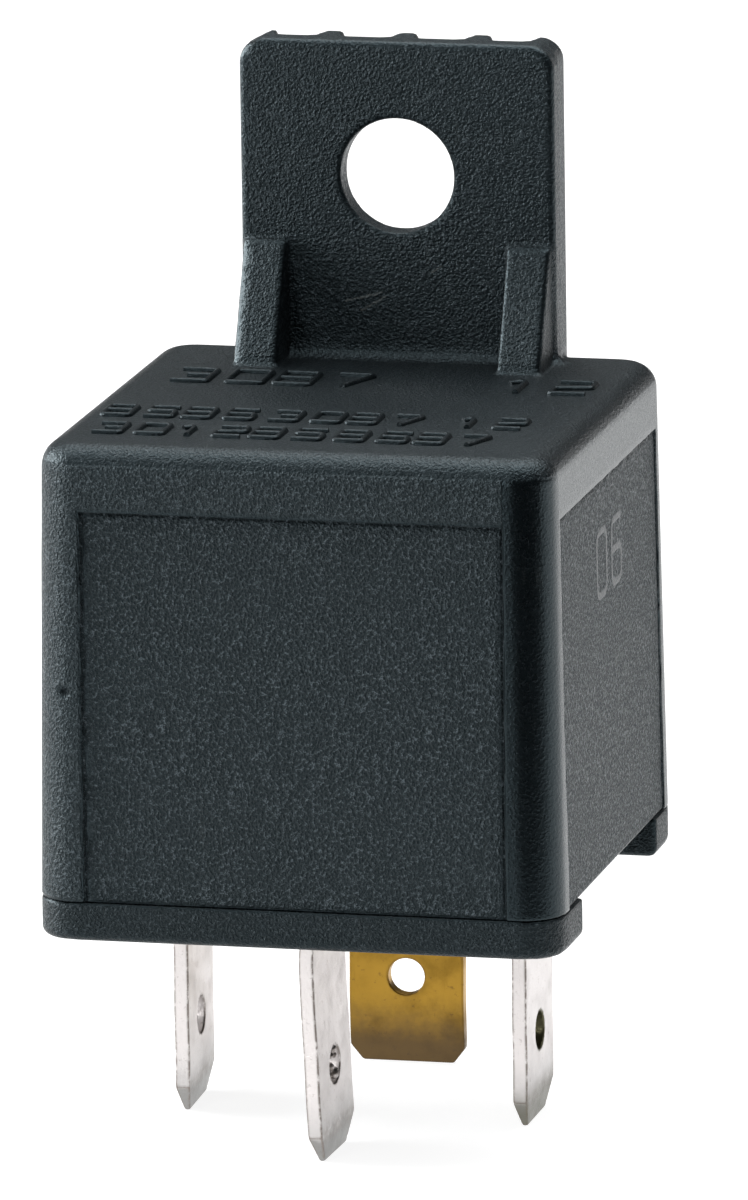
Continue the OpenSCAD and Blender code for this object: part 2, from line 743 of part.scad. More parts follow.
module armature() {
    front = -front_lip;
    back = tail_y - hinge_y;
    wide = yoke_w / 2;
    narrow = armature_w / 2;
    round_r = spring_bend_r;
    color("#8a8f93") opened() difference() {
        intersection() {
            linear_extrude(armature_t) translate([row_x, 0]) polygon([
                [-wide, front], [wide, front], [wide, 1.6], [narrow, 3],
                [narrow, back - 1], [narrow - 1, back], [1 - narrow, back],
                [-narrow, back - 1], [-narrow, 3], [-wide, 1.6]]);
            // round front edge, which the spring bends over
            translate([row_x, 0, 0]) rotate([0, 90, 0]) translate([0, 0, -yoke_w])
                linear_extrude(2 * yoke_w) union() {
                    translate([-armature_t, front + round_r]) square([armature_t, back + 1]);
                    translate([round_r - armature_t, front]) square([armature_t - round_r, 2]);
                    translate([round_r - armature_t, front + round_r]) circle(round_r);
                }
        }
        translate([row_x, 0, 0]) rotate([0, 90, 0])
            cylinder(r = edge_r + edge_gap, h = yoke_w + 2, center = true);
        armature_rivet_places() translate([0, 0, -1])
            cylinder(r = rivet_r + rivet_gap, h = armature_t + 2);
    }
}

module armature_rivet_places() {
    for (sx = [-1, 1])
        translate([row_x + sx * armature_rivet_x, armature_rivet_y - hinge_y, 0]) children();
}

module armature_rivets() {
    color("#b9bcbe") opened() armature_rivet_places() rivet(armature_t + spring_t);
}

// Leaf spring at its open rest: leg on the yoke's face, bend, then the leaf on the armature
module contact_spring() {
    leg_past_rivet = 2;
    leaf_past_contact = 0.4;
    bend_gap = 0.06;
    leg_low_z = yoke_rivet_z - leg_past_rivet;
    leaf_end = contact_y + contact_r + leaf_past_contact - hinge_y;
    // the bend's centre is as far from the yoke's face as from the leaf's underside
    ri = spring_bend_r + bend_gap;
    ro = ri + spring_t;
    centre_y = yoke_y + ri;
    leaf_line = hinge_z + (armature_t + (centre_y - hinge_y) * sin(open_angle)) / cos(open_angle);
    centre_z = leaf_line - ri / cos(open_angle);
    leaf_start = (centre_y - hinge_y) * cos(open_angle) + (centre_z - hinge_z) * sin(open_angle);
    big = 4 * ro;
    color("#b98a4a") difference() {
        union() {
            across(spring_w) union() {
                translate([yoke_y - spring_t, leg_low_z])
                    square([spring_t, centre_z - leg_low_z + eps]);
                translate([centre_y, centre_z]) difference() {
                    circle(ro);
                    circle(ri);
                    translate([-big, -big]) square([2 * big, big]);
                    rotate(open_angle) translate([0, -big]) square([big, 2 * big]);
                }
            }
            opened() translate([row_x, leaf_start - eps, armature_t]) linear_extrude(spring_t)
                leaf_plan(leaf_end - leaf_start + eps);
        }
        // window that softens the bend
        translate([row_x - window_w / 2, yoke_y - 2, hinge_z - 3])
            cube([window_w, 2.6 + ri, 9]);
        yoke_rivet_holes();
        opened() {
            armature_rivet_places() translate([0, 0, 0.5])
                cylinder(r = rivet_r + rivet_gap, h = armature_t + 1);
            translate([row_x, contact_y - hinge_y, 0.5])
                cylinder(r = rivet_r + rivet_gap, h = armature_t + 1);
        }
    }
}
window_w = 3;

// Plan of the leaf: full width over the armature, then the narrow tongue with a round end
module leaf_plan(length) {
    full = tail_y - hinge_y - 3.5;
    r = tongue_w / 2;
    polygon([[-spring_w / 2, 0], [spring_w / 2, 0], [spring_w / 2, full],
        [r, full + 1.6], [-r, full + 1.6], [-spring_w / 2, full]]);
    translate([-r, full]) square([tongue_w, length - full - r]);
    translate([0, length - r]) circle(r);
}

module moving_contact() {
    color("#d9d4c6") opened() translate([row_x, contact_y - hinge_y, armature_t]) {
        translate([0, 0, -moving_drop]) cylinder(r = contact_r, h = moving_drop);
        translate([0, 0, -eps]) cylinder(r = rivet_r, h = spring_t + 2 * eps);
        translate([0, 0, spring_t]) cylinder(r = contact_head_r, h = contact_head_h);
    }
}

module yoke_rivets() {
    color("#b9bcbe") for (sx = [-1, 1])
        translate([row_x + sx * yoke_rivet_x, yoke_y + yoke_t, yoke_rivet_z]) rotate([90, 0, 0])
            rivet(yoke_t + spring_t);
}

module terminal_rivet() {
    color("#b9bcbe")
        translate([flag_rivet_x, yoke_y + yoke_t, flag_rivet_z]) rotate([90, 0, 0])
            rivet(yoke_t + blade_t);
}

// The strip that the open contact rests against
stop_w = 5;
stop_room = 1.45;
stop_y = inner_d / 2 - stop_room;
stop_root = 1.4;

module armature_stop() {
    back_y = stop_y + strip_t / 2;
    front_y = contact_y - contact_head_r + 0.2;
    color("#a3a7a9") across(stop_w)
        translate([back_y, stop_z + strip_t]) rotate(180)
            folded(back_y - front_y, stop_z + strip_t - floor_z + stop_root, strip_t, 0.7);
}

// Braid from the flag of the front terminal, round the side, to the top of the leaf
braid_gap = 0.02;
braid_flag_x = flag_w - 1.1;
braid_flag_drop = 0.3;
braid_rise = 2.2;
braid_side_x = 8.4;
braid_step = 3.4;
braid_leaf_x = 2.9;
braid_end_x = 1.2;
braid_leaf_in = 2;

module braid() {
    r = braid_d / 2;
    flag_y = yoke_y - blade_t - r - braid_gap;
    leaf_y = tail_y - braid_leaf_in;
    leaf_top = hinge_z + (armature_t + spring_t) / cos(open_angle)
        + (leaf_y + r - hinge_y) * tan(open_angle) + r + braid_gap;
    start = [row_x + braid_flag_x, flag_y, flag_z - braid_flag_drop];
    // the route's turning points, as shares of the way out to the side
    points = [
        start, start + [r / 2, 0, braid_rise],
        [row_x + 0.845 * braid_side_x, flag_y + r / 3, hinge_z - yoke_rivet_drop - r],
        [row_x + 0.99 * braid_side_x, yoke_y, hinge_z - braid_step],
        [row_x + braid_side_x, yoke_y + braid_step, hinge_z + r],
        [row_x + 0.905 * braid_side_x, leaf_y - braid_step, leaf_top - r / 3],
        [row_x + 0.595 * braid_side_x, leaf_y, leaf_top + r / 2],
        [row_x + braid_leaf_x, leaf_y, leaf_top], [row_x + braid_end_x, leaf_y, leaf_top]];
    color("#b5713f") wire(route(points, 5), braid_d, 12, [0, 1, 0]);
}

cover();
base_plate();
terminal_30();
terminal_85();
terminal_86();
terminal_87();
yoke();
core();
bobbin();
winding();
coil_lead_85();
coil_lead_86();
armature();
contact_spring();
moving_contact();
fixed_contact();
armature_stop();
armature_rivets();
yoke_rivets();
terminal_rivet();
braid();
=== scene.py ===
"""Automotive relay: the looks of its pieces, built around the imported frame.

Shapes are worked out in millimetres and every mesh is stored in metres, in the frame's own axes:
the tips of the blades stand at z = 0, the front faces -Y and the bracket tab stands at the back.
"""

import json
import math
from types import SimpleNamespace

import bmesh
import bpy
import numpy as np
from bpy.props import FloatProperty, FloatVectorProperty, IntProperty, PointerProperty
from mathutils import Matrix, Vector


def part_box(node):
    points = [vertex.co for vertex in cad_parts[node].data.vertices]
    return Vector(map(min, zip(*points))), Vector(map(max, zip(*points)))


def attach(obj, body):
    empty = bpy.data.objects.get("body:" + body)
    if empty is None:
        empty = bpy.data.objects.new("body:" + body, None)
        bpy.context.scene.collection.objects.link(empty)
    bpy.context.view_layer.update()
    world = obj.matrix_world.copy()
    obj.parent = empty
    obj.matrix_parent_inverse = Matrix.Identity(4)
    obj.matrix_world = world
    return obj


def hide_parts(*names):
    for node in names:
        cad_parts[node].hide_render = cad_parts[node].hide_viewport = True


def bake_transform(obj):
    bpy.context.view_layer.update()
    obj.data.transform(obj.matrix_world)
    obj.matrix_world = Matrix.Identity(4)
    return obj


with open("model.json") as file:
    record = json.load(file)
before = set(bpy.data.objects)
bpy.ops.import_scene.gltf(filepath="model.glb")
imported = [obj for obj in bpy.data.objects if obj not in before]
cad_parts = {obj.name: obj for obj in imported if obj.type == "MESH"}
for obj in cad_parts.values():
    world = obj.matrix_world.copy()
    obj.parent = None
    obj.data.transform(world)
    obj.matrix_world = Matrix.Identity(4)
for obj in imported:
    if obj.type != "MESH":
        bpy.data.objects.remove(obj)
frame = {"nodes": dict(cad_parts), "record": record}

bl_info = {
    "name": "Automotive relay",
    "version": (1, 0, 0),
    "blender": (4, 5, 0),
    "location": "3D View > Sidebar > Relay",
    "description": "Builds the cover, base, blades and inner parts of a relay, and its stage",
    "category": "Object",
}

MM = 0.001
MOUNTS = {m["name"]: m for m in frame["record"]["mounts"]}


# ---------------------------------------------------------------- sizes and colours


def box_mm(node):
    """Lowest and highest corner of a frame node, in millimetres."""
    low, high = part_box(node)
    return low / MM, high / MM


COVER_LOW, COVER_HIGH = box_mm("cover")
BASE_LOW, BASE_HIGH = box_mm("base_plate")


def number(name, description, default, **more):
    return FloatProperty(name=name, description=description, default=default, **more)


def length(name, description, default):
    """A length property; its default is given in millimetres."""
    return number(name, description, default * MM, min=0.0, unit="LENGTH", precision=5)


def angle(name, description, degrees):
    return number(name, description, math.radians(degrees), subtype="ANGLE")


def share(name, description, default, high=1.0):
    return number(name, description, default, min=0.0, max=high, subtype="FACTOR")


def colour(name, description, default):
    values = {"default": default, "size": 3, "min": 0.0, "max": 1.0, "subtype": "COLOR"}
    return FloatVectorProperty(name=name, description=description, **values)


class RelayCoverSizes(bpy.types.PropertyGroup):
    width: length("Width", "Width at the lower edge", COVER_HIGH.x - COVER_LOW.x)
    depth: length("Depth", "Depth at the lower edge", COVER_HIGH.y - COVER_LOW.y)
    seam: length("Seam", "Level of the seam above the tips", COVER_LOW.z)
    height: length("Height", "From the seam to the roof", 24.3)
    wall: length("Wall", "Thickness of the side walls", 1.15)
    roof: length("Roof", "Thickness of the roof", 1.2)
    draft: angle("Draft", "Lean of the walls", 0.8)
    corner: length("Corner radius", "Radius of the upright corners", 2.2)
    top: length("Top radius", "Radius of the upper edges", 1.3)
    lip: length("Lip radius", "Radius of the lower edge at the seam", 0.13)
    panel_step: length("Panel step", "Depth of the recessed panels", 0.1)
    panel_margin: length("Panel margin", "Plain margin beside each panel", 2.8)
    panel_head: length("Panel head", "Plain margin above each panel", 3.45)
    sink: length("Sink", "How far the middle of each wall has sunk", 0.06)
    groove: length("Groove", "Depth of the witness line round each panel", 0.10)


class RelayTabSizes(bpy.types.PropertyGroup):
    width: length("Width", "Width of the tab", 17.2)
    thickness: length("Thickness", "Thickness of the tab's plate", 1.65)
    inset: length("Inset", "Front face inside the cover's back", 3.55)
    corner: length("Corner radius", "Radius of the upper corners", 1.4)
    edge: length("Edge radius", "Radius along the edges", 0.32)
    rib_height: length("Rib height", "Height of the ribs on the back", 1.5)
    rib_width: length("Rib width", "Width of a rib at its root", 1.8)
    rib_pitch: length("Rib pitch", "From rib to rib", 4.05)
    gusset_height: length("Gusset height", "Height above the roof", 6.4)
    gusset_depth: length("Gusset depth", "Depth at the roof", 3.2)
    gusset_width: length("Gusset width", "Width of a gusset", 2.4)
    foot: length("Foot radius", "Fillet at the foot of the tab", 0.9)


class RelayBaseSizes(bpy.types.PropertyGroup):
    notch_depth: length("Notch depth", "Depth of the cut-backs at the sides", 2.5)
    notch_length: length("Notch length", "Length of the cut-backs", 17.7)
    notch_place: length("Notch place", "Offset of the cut-backs to the back", 0.45)
    edge: length("Edge radius", "Radius of the lower edge", 0.45)
    plug_gap: length("Plug gap", "Gap between the plug and the cover", 0.08)
    slot_gap: length("Slot gap", "Clearance round a blade in its slot", 0.04)
    mouth_gap: length("Mouth gap", "Clearance round a blade at the mouth", 0.25)
    mouth_depth: length("Mouth depth", "Depth of the relief at the mouths", 0.5)


class RelayBladeSizes(bpy.types.PropertyGroup):
    width: length("Width", "Width of a flat blade", 6.3)
    thickness: length("Thickness", "Thickness of a flat blade", 0.8)
    edge: length("Edge radius", "Radius along the stamped edges", 0.07)
    hole: length("Detent hole", "Diameter of the detent hole", 2.0)
    hole_rise: length("Hole height", "Height of the hole above the tip", 4.75)
    row: length("Row", "Offset of the blades to the right", 0.3)
    bend_30: angle("Front bend", "Bend of the front blade to the right", 2.4)
    twist_30: angle("Front twist", "Twist of the front blade", -2.0)
    twist_86: angle("Left twist", "Twist of the left blade", 2.0)


class RelayWorksSizes(bpy.types.PropertyGroup):
    wire: length("Coil wire", "Diameter of the winding's wire", 0.2)
    braid: length("Braid", "Diameter of the braid", 1.2)
    strands: IntProperty(
        name="Strands", description="Strands in the braid", default=7, min=3, max=12
    )
    rivet_shank: length("Rivet shank", "Radius of a rivet's shank", 0.8)
    rivet_head: length("Rivet head", "Radius of a rivet's head", 1.35)
    rivet_rise: length("Rivet rise", "Height of a rivet's head", 0.45)
    relief: length("Relief", "Height of the raised signs on the roof", 0.22)
    open_angle: angle("Open angle", "Lift of the open armature", 2.2)
    barrel: share("Barrel", "Radius under the winding against the core's", 1.33, 2.0)


class RelayFinishes(bpy.types.PropertyGroup):
    cover: colour("Cover", "Moulded cover", (0.0048, 0.0070, 0.0088))
    base: colour("Base", "Moulded base", (0.0042, 0.0062, 0.0078))
    tin: colour("Tin", "Tinned blades", (0.70, 0.665, 0.655))
    brass: colour("Brass", "Bare brass blade", (0.44, 0.255, 0.040))
    steel: colour("Steel", "Zinc-plated steel", (0.53, 0.55, 0.57))
    bobbin: colour("Bobbin", "Bobbin plastic", (0.62, 0.55, 0.36))
    enamel: colour("Enamel", "Enamelled coil wire", (0.46, 0.14, 0.045))
    bronze: colour("Bronze", "Spring bronze", (0.66, 0.40, 0.16))
    silver: colour("Silver", "Contact silver", (0.78, 0.76, 0.72))
    copper: colour("Copper", "Braid copper", (0.74, 0.34, 0.17))


class RelayStageSizes(bpy.types.PropertyGroup):
    azimuth: angle("Azimuth", "The camera's turn to the right", 13.67)
    elevation: angle("Elevation", "The camera's height angle", 12.66)
    roll: angle("Roll", "Roll of the camera", -0.83)
    distance: length("Distance", "From the camera to its target", 773.0)
    lens: number("Lens", "Focal length in millimetres", 438.9)
    aim_right: length("Aim right", "Target right of the middle", 1.008)
    aim_up: length("Aim up", "Target above the tips", 27.5)
    daylight: share("Fill", "Strength of the even light from all round", 0.34, 2.0)
    key: number("Key", "Power of the overhead light", 1.9)


GROUPS = {
    "cover": RelayCoverSizes,
    "tab": RelayTabSizes,
    "base": RelayBaseSizes,
    "blade": RelayBladeSizes,
    "works": RelayWorksSizes,
    "finish": RelayFinishes,
    "stage": RelayStageSizes,
}


def sizes(group):
    """A property group's values, its lengths in millimetres."""
    values = getattr(bpy.context.scene, "relay_" + group)
    found = {}
    for key, prop in values.bl_rna.properties.items():
        if key in ("rna_type", "name"):
            continue
        value = getattr(values, key)
        found[key] = value / MM if getattr(prop, "unit", "") == "LENGTH" else value
    return SimpleNamespace(**found)


# ---------------------------------------------------------------- fields and their skins


def join_round(a, b, r):
    """Union of two fields with a hollow fillet of radius r."""
    away = np.hypot(np.maximum(r - a, 0), np.maximum(r - b, 0))
    return np.maximum(r, np.minimum(a, b)) - away


def meet_round(a, b, r):
    """Intersection of two fields with its edge rounded to radius r."""
    out = np.hypot(np.maximum(a + r, 0), np.maximum(b + r, 0))
    return np.minimum(-r, np.maximum(a, b)) + out


def slab(v, low, high):
    return np.maximum(low - v, v - high)


def round_rect(u, v, half_u, half_v, r):
    """Field of a rectangle with round corners, centred at the origin."""
    a, b = np.abs(u) - half_u + r, np.abs(v) - half_v + r
    return np.hypot(np.maximum(a, 0), np.maximum(b, 0)) + np.minimum(np.maximum(a, b), 0) - r


def block(x, y, z, low, high, r=0.0):
    """Field of an upright box between two corners."""
    d = slab(x, low[0], high[0])
    for v, k in ((y, 1), (z, 2)):
        d = meet_round(d, slab(v, low[k], high[k]), r)
    return d


def stations(low, high, step, fine):
    """Grid lines from low to high, closer together on the (from, to, step) stretches."""
    lines, at = [], low
    while at < high:
        lines.append(at)
        here = min([s for a, b, s in fine if a <= at < b] + [step])
        ahead = [a for a, b, s in fine if at + 1e-9 < a < at + here and s < here]
        at = min([at + here] + ahead)
    return np.array(lines + [high])


def near(at, before, after, step):
    """A stretch of finer grid lines round a place."""
    return at - before, at + after, step


def surface_net(field, axes):
    """Closed skin where a field is zero: points and four-sided faces that look outwards."""
    grid = np.meshgrid(*axes, indexing="ij")
    d = field(*grid)
    cells = tuple(n - 1 for n in d.shape)
    total, count = np.zeros(cells + (3,)), np.zeros(cells)
    crossings = []
    for axis in range(3):
        near = [slice(None)] * 3
        far = [slice(None)] * 3
        near[axis], far[axis] = slice(None, -1), slice(1, None)
        near, far = tuple(near), tuple(far)
        cut = (d[near] < 0) != (d[far] < 0)
        gap = np.where(cut, d[near] - d[far], 1.0)
        t = np.where(cut, d[near] / gap, 0.0)
        place = [g[near] for g in grid]
        place[axis] = place[axis] + t * (grid[axis][far] - grid[axis][near])
        side = [k for k in range(3) if k != axis]
        for i in (0, 1):
            for j in (0, 1):
                part = [slice(None)] * 3
                part[side[0]] = slice(i, i + cells[side[0]])
                part[side[1]] = slice(j, j + cells[side[1]])
                part = tuple(part)
                hit = cut[part]
                count += hit
                for k in range(3):
                    total[..., k] += np.where(hit, place[k][part], 0.0)
        crossings.append((axis, cut, d[near] < 0))
    live = count > 0
    index = np.full(cells, -1)
    index[live] = np.arange(live.sum())
    points = total[live] / count[live][:, None]
    faces = []
    for axis, cut, inside in crossings:
        u, v = (axis + 1) % 3, (axis + 2) % 3
        at = np.argwhere(cut)
        keep = (at[:, u] > 0) & (at[:, v] > 0)
        keep &= (at[:, u] < cells[u]) & (at[:, v] < cells[v])
        at = at[keep]
        ring = []
        for du, dv in ((1, 1), (0, 1), (0, 0), (1, 0)):
            c = at.copy()
            c[:, u] -= du
            c[:, v] -= dv
            ring.append(index[tuple(c.T)])
        quad = np.stack(ring, 1)
        turned = ~inside[tuple(at.T)]
        quad[turned] = quad[turned][:, ::-1]
        faces.append(quad)
    return points, np.concatenate(faces)


def gradient(field, points, h=0.01):
    """Outward unit normals of a field at some points."""
    g = np.zeros_like(points)
    for k in range(3):
        off = np.zeros(3)
        off[k] = h
        g[:, k] = field(*(points + off).T) - field(*(points - off).T)
    return g / np.maximum(np.linalg.norm(g, axis=1), 1e-9)[:, None]


def edge_mask(field, points, h):
    """1 along outer edges, 0 on flat faces: how fast a field spreads round each point."""
    spread = -6 * field(*points.T)
    for k in range(3):
        off = np.zeros(3)
        off[k] = h
        spread = spread + field(*(points + off).T) + field(*(points - off).T)
    return np.clip(spread / h * 1.6, 0, 1)


def skin(name, field, axes, edge=0.15, shape=None, masks=None):
    """A mesh object for a field, with its normals, an edge mask and any further masks.
    shape moves the finished points and returns them."""
    points, faces = surface_net(field, axes)
    normals = gradient(field, points)
    values = {"edge": edge_mask(field, points, edge)}
    for key, mask in (masks or {}).items():
        values[key] = mask(*points.T)
    if shape:
        ahead = shape(points + normals * 0.01)
        points = shape(points)
        normals = ahead - points
        normals /= np.linalg.norm(normals, axis=1)[:, None]
    mesh = bpy.data.meshes.new(name)
    mesh.from_pydata((points * MM).tolist(), [], faces.tolist())
    for key, value in values.items():
        attribute = mesh.attributes.new(key, "FLOAT", "POINT")
        attribute.data.foreach_set("value", value.astype(np.float32))
    mesh.shade_smooth()
    mesh.normals_split_custom_set_from_vertices(normals.tolist())
    return place_mesh(name, mesh)


def place_mesh(name, mesh):
    piece = bpy.data.objects.new(name, mesh)
    bpy.context.scene.collection.objects.link(piece)
    return piece


def plain_mesh(source, name, move=None):
    """The evaluated shape of an object as a plain mesh object; the source is removed."""
    bpy.context.view_layer.update()
    graph = bpy.context.evaluated_depsgraph_get()
    mesh = bpy.data.meshes.new_from_object(source.evaluated_get(graph), depsgraph=graph)
    mesh.transform(source.matrix_world)
    if move is not None:
        mesh.transform(move)
    bpy.data.objects.remove(source)
    mesh.name = name
    return place_mesh(name, mesh)


def finish_piece(piece, body, slot, *nodes, look=None):
    """Gives a piece its finish, from the look if given, else from the slot, and its body, and hides
    the nodes that it stands for.
    """
    piece.data.materials.clear()
    piece.data.materials.append(finish(look or slot))
    if body:
        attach(piece, body)
    if nodes:
        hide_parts(*nodes)


# ---------------------------------------------------------------- node trees


class Tree:
    """Adds nodes to a tree; a value that is a socket is linked, any other is set."""

    def __init__(self, tree):
        self.tree = tree

    def add(self, kind, values=None, **settings):
        node = self.tree.nodes.new(kind)
        for key, value in settings.items():
            setattr(node, key, value)
        for key, value in (values or {}).items():
            socket = node.inputs[key]
            if isinstance(value, bpy.types.NodeSocket):
                self.tree.links.new(value, socket)
            else:
                socket.default_value = value
        return node

    def link(self, value, socket):
        self.tree.links.new(value, socket)

    def math(self, operation, a, b=0.0, clamp=False):
        node = self.add("ShaderNodeMath", {0: a, 1: b}, operation=operation, use_clamp=clamp)
        return node.outputs[0]

    def times(self, a, b):
        return self.math("MULTIPLY", a, b)

    def axis(self, vector, name):
        return self.add("ShaderNodeSeparateXYZ", {0: vector}).outputs[name]

    def scaled(self, vector, scale):
        values = {0: vector, "Scale": scale}
        return self.add("ShaderNodeVectorMath", values, operation="SCALE").outputs[0]

    def vector(self, operation, a, b=(0, 0, 0)):
        return self.add("ShaderNodeVectorMath", {0: a, 1: b}, operation=operation).outputs[0]

    def mix(self, factor, a, b):
        node = self.add("ShaderNodeMix", {0: factor, 6: a, 7: b}, data_type="RGBA")
        return node.outputs[2]

    def lerp(self, factor, a, b):
        return self.add("ShaderNodeMix", {0: factor, 2: a, 3: b}, data_type="FLOAT").outputs[0]

    def noise(self, vector, scale, detail=2.0, rough=0.5):
        values = {"Vector": vector, "Scale": scale, "Detail": detail, "Roughness": rough}
        return self.add("ShaderNodeTexNoise", values).outputs["Fac"]

    def step(self, value, low, high):
        """0 below low, 1 above high and a smooth rise between."""
        values = {"Value": value, "From Min": low, "From Max": high}
        node = self.add("ShaderNodeMapRange", values, interpolation_type="SMOOTHSTEP")
        return node.outputs["Result"]

    def rays(self):
        """1 for the camera's rays, and 1 for mirrored and transmitted ones."""
        path = self.add("ShaderNodeLightPath").outputs
        other = self.math("ADD", path["Is Glossy Ray"], path["Is Transmission Ray"], clamp=True)
        return path["Is Camera Ray"], other

    def mask(self, name):
        return self.add("ShaderNodeAttribute", attribute_name=name).outputs["Fac"]


def new_group(name, kind, inputs, outputs):
    """An empty node group with named sockets: name=(type, default) in, name=type out."""
    group = bpy.data.node_groups.new(name, kind + "NodeTree")
    for label, (socket, default) in inputs.items():
        made = group.interface.new_socket(label, in_out="INPUT", socket_type="NodeSocket" + socket)
        if default is not None:
            made.default_value = default
    for label, socket in outputs.items():
        group.interface.new_socket(label, in_out="OUTPUT", socket_type="NodeSocket" + socket)
    source = group.nodes.new("NodeGroupInput").outputs
    sink = group.nodes.new("NodeGroupOutput").inputs
    return Tree(group), source, sink


def shader_group(name, inputs, *outputs):
    """A shader group that takes a place and some values, and puts out values."""
    values = {key: ("Float", value) for key, value in inputs.items()}
    values = {"Vector": ("Vector", None), **values}
    return new_group(name, "Shader", values, dict.fromkeys(outputs, "Float"))


def grain_group():
    """Spark-eroded grain: overlapping round pits, with a mask on the crests between them for
    painted glints.
    """
    tree, given, out = shader_group("moulded_grain", {"Size": 0.3, "Curl": 0.5}, "Height", "Fleck")
    scale = tree.math("DIVIDE", 1.0, given["Size"])
    values = {"Vector": given["Vector"], "Scale": scale, "Detail": 1.0}
    warp = tree.add("ShaderNodeTexNoise", values).outputs["Color"]
    drift = tree.vector("SUBTRACT", warp, HALF)
    moved = tree.scaled(drift, tree.times(given["Size"], given["Curl"]))
    moved = tree.vector("ADD", given["Vector"], moved)
    values = {"Vector": moved, "Scale": scale}
    cells = tree.add("ShaderNodeTexVoronoi", values).outputs["Distance"]
    fine = tree.noise(given["Vector"], tree.times(scale, 2.3), 1.0, 0.5)
    pit = tree.step(cells, 0.05, 0.85)
    tree.link(tree.lerp(0.4, pit, tree.step(fine, 0.25, 0.75)), out["Height"])
    # painted glints: the crests, where light would catch the grain, are marked to be painted paler
    crest = tree.times(tree.step(cells, 0.52, 0.78), tree.step(fine, 0.44, 0.62))
    tree.link(crest, out["Fleck"])
    return tree.tree


def scratch_group():
    """Fine straight scratches along the vector's Z, broken up at random."""
    inputs = {"Spacing": 0.4, "Length": 8.0}
    tree, given, out = shader_group("fine_scratches", inputs, "Scratch")
    scale = tree.math("DIVIDE", 1.0, given["Spacing"])
    values = {"X": 1.0, "Y": 1.0, "Z": tree.math("DIVIDE", 1.0, given["Length"])}
    stretch = tree.add("ShaderNodeCombineXYZ", values).outputs[0]
    along = tree.vector("MULTIPLY", given["Vector"], stretch)
    lines = tree.step(tree.noise(along, scale, 3.0, 0.65), 0.60, 0.72)
    gaps = tree.step(tree.noise(given["Vector"], tree.times(scale, 0.25)), 0.42, 0.62)
    tree.link(tree.times(lines, gaps), out["Scratch"])
    return tree.tree


def blotch_group():
    """Soft uneven patches, such as stains and handling marks."""
    inputs = {"Size": 4.0, "Low": 0.45, "High": 0.7}
    tree, given, out = shader_group("blotches", inputs, "Blotch")
    cloud = tree.noise(given["Vector"], tree.math("DIVIDE", 1.0, given["Size"]), 6.0, 0.62)
    tree.link(tree.step(cloud, given["Low"], given["High"]), out["Blotch"])
    return tree.tree


def stroke_group():
    """One scratch from a start to an end point, thin and ragged."""
    inputs = {key: ("Vector", None) for key in ("Vector", "Start", "End")}
    inputs["Width"] = ("Float", 0.08)
    tree, given, out = new_group("single_scratch", "Shader", inputs, {"Scratch": "Float"})
    values = {"Vector": given["Vector"], "Scale": 4.0, "Detail": 2.0}
    ragged = tree.add("ShaderNodeTexNoise", values).outputs["Color"]
    drift = tree.scaled(tree.vector("SUBTRACT", ragged, HALF), 0.22)
    at = tree.vector("ADD", given["Vector"], drift)
    line = tree.vector("SUBTRACT", given["End"], given["Start"])
    off = tree.vector("SUBTRACT", at, given["Start"])

    def measure(operation, a, b):
        node = tree.add("ShaderNodeVectorMath", {0: a, 1: b}, operation=operation)
        return node.outputs["Value"]

    dot, own = measure("DOT_PRODUCT", off, line), measure("DOT_PRODUCT", line, line)
    foot = tree.scaled(line, tree.math("DIVIDE", dot, own, clamp=True))
    near = tree.math("DIVIDE", measure("DISTANCE", off, foot), given["Width"])
    tree.link(tree.math("SUBTRACT", 1.0, near, clamp=True), out["Scratch"])
    return tree.tree


HALF = (0.5, 0.5, 0.5)
SHADER_GROUPS = {
    "grain": grain_group,
    "scratches": scratch_group,
    "blotches": blotch_group,
    "stroke": stroke_group,
}
_made = {}


def shared(name):
    """A shared shader group, built once."""
    if name not in _made:
        _made[name] = SHADER_GROUPS[name]()
    return _made[name]


class Finish(Tree):
    """A material's tree with its shader and its own coordinates in millimetres."""

    def __init__(self, name, metallic=0.0, specular=0.5):
        self.material = bpy.data.materials.new(name)
        self.material.use_nodes = True
        super().__init__(self.material.node_tree)
        self.shader = self.tree.nodes["Principled BSDF"]
        self.shader.inputs["Metallic"].default_value = metallic
        self.shader.inputs["Specular IOR Level"].default_value = specular
        place = self.add("ShaderNodeTexCoord").outputs["Object"]
        self.at = self.vector("MULTIPLY", place, (1 / MM,) * 3)

    def use(self, name, **values):
        """The outputs of a shared group at this material's own place."""
        values = {"Vector": self.at, **{key.title(): value for key, value in values.items()}}
        return self.add("ShaderNodeGroup", node_tree=shared(name), values=values).outputs

    def blotch(self, size, low, high):
        return self.use("blotches", size=size, low=low, high=high)[0]

    def scratch(self, spacing, length):
        return self.use("scratches", spacing=spacing, length=length)[0]

    def layers(self, body, *coats):
        """Lays colours over a body colour: (mask, strength, colour) each."""
        for mask, strength, coat in coats:
            body = self.mix(self.times(mask, strength), body, coat)
        return body

    def set(self, socket, value):
        if isinstance(value, bpy.types.NodeSocket):
            self.tree.links.new(value, self.shader.inputs[socket])
        else:
            self.shader.inputs[socket].default_value = value

    def bump(self, height, distance, below=None):
        """Bump of a real depth in millimetres, laid over another one if given."""
        values = {"Height": height, "Strength": 1.0, "Distance": distance * MM}
        if below is not None:
            values["Normal"] = below
        return self.add("ShaderNodeBump", values).outputs["Normal"]


def opaque(rgb, gain=1.0):
    return tuple(min(1.0, c * gain) for c in rgb) + (1.0,)


COOL_SHEEN = (0.66, 0.90, 1.0, 1.0)
# ends of the short scratches on the tab's front face
TAB_SCRATCHES = (
    ((-2.0, 10.75, 40.9), (-0.7, 10.75, 41.7)),
    ((-2.9, 10.75, 41.4), (-0.9, 10.75, 41.9)),
    ((1.9, 10.75, 43.1), (2.3, 10.75, 43.4)),
)


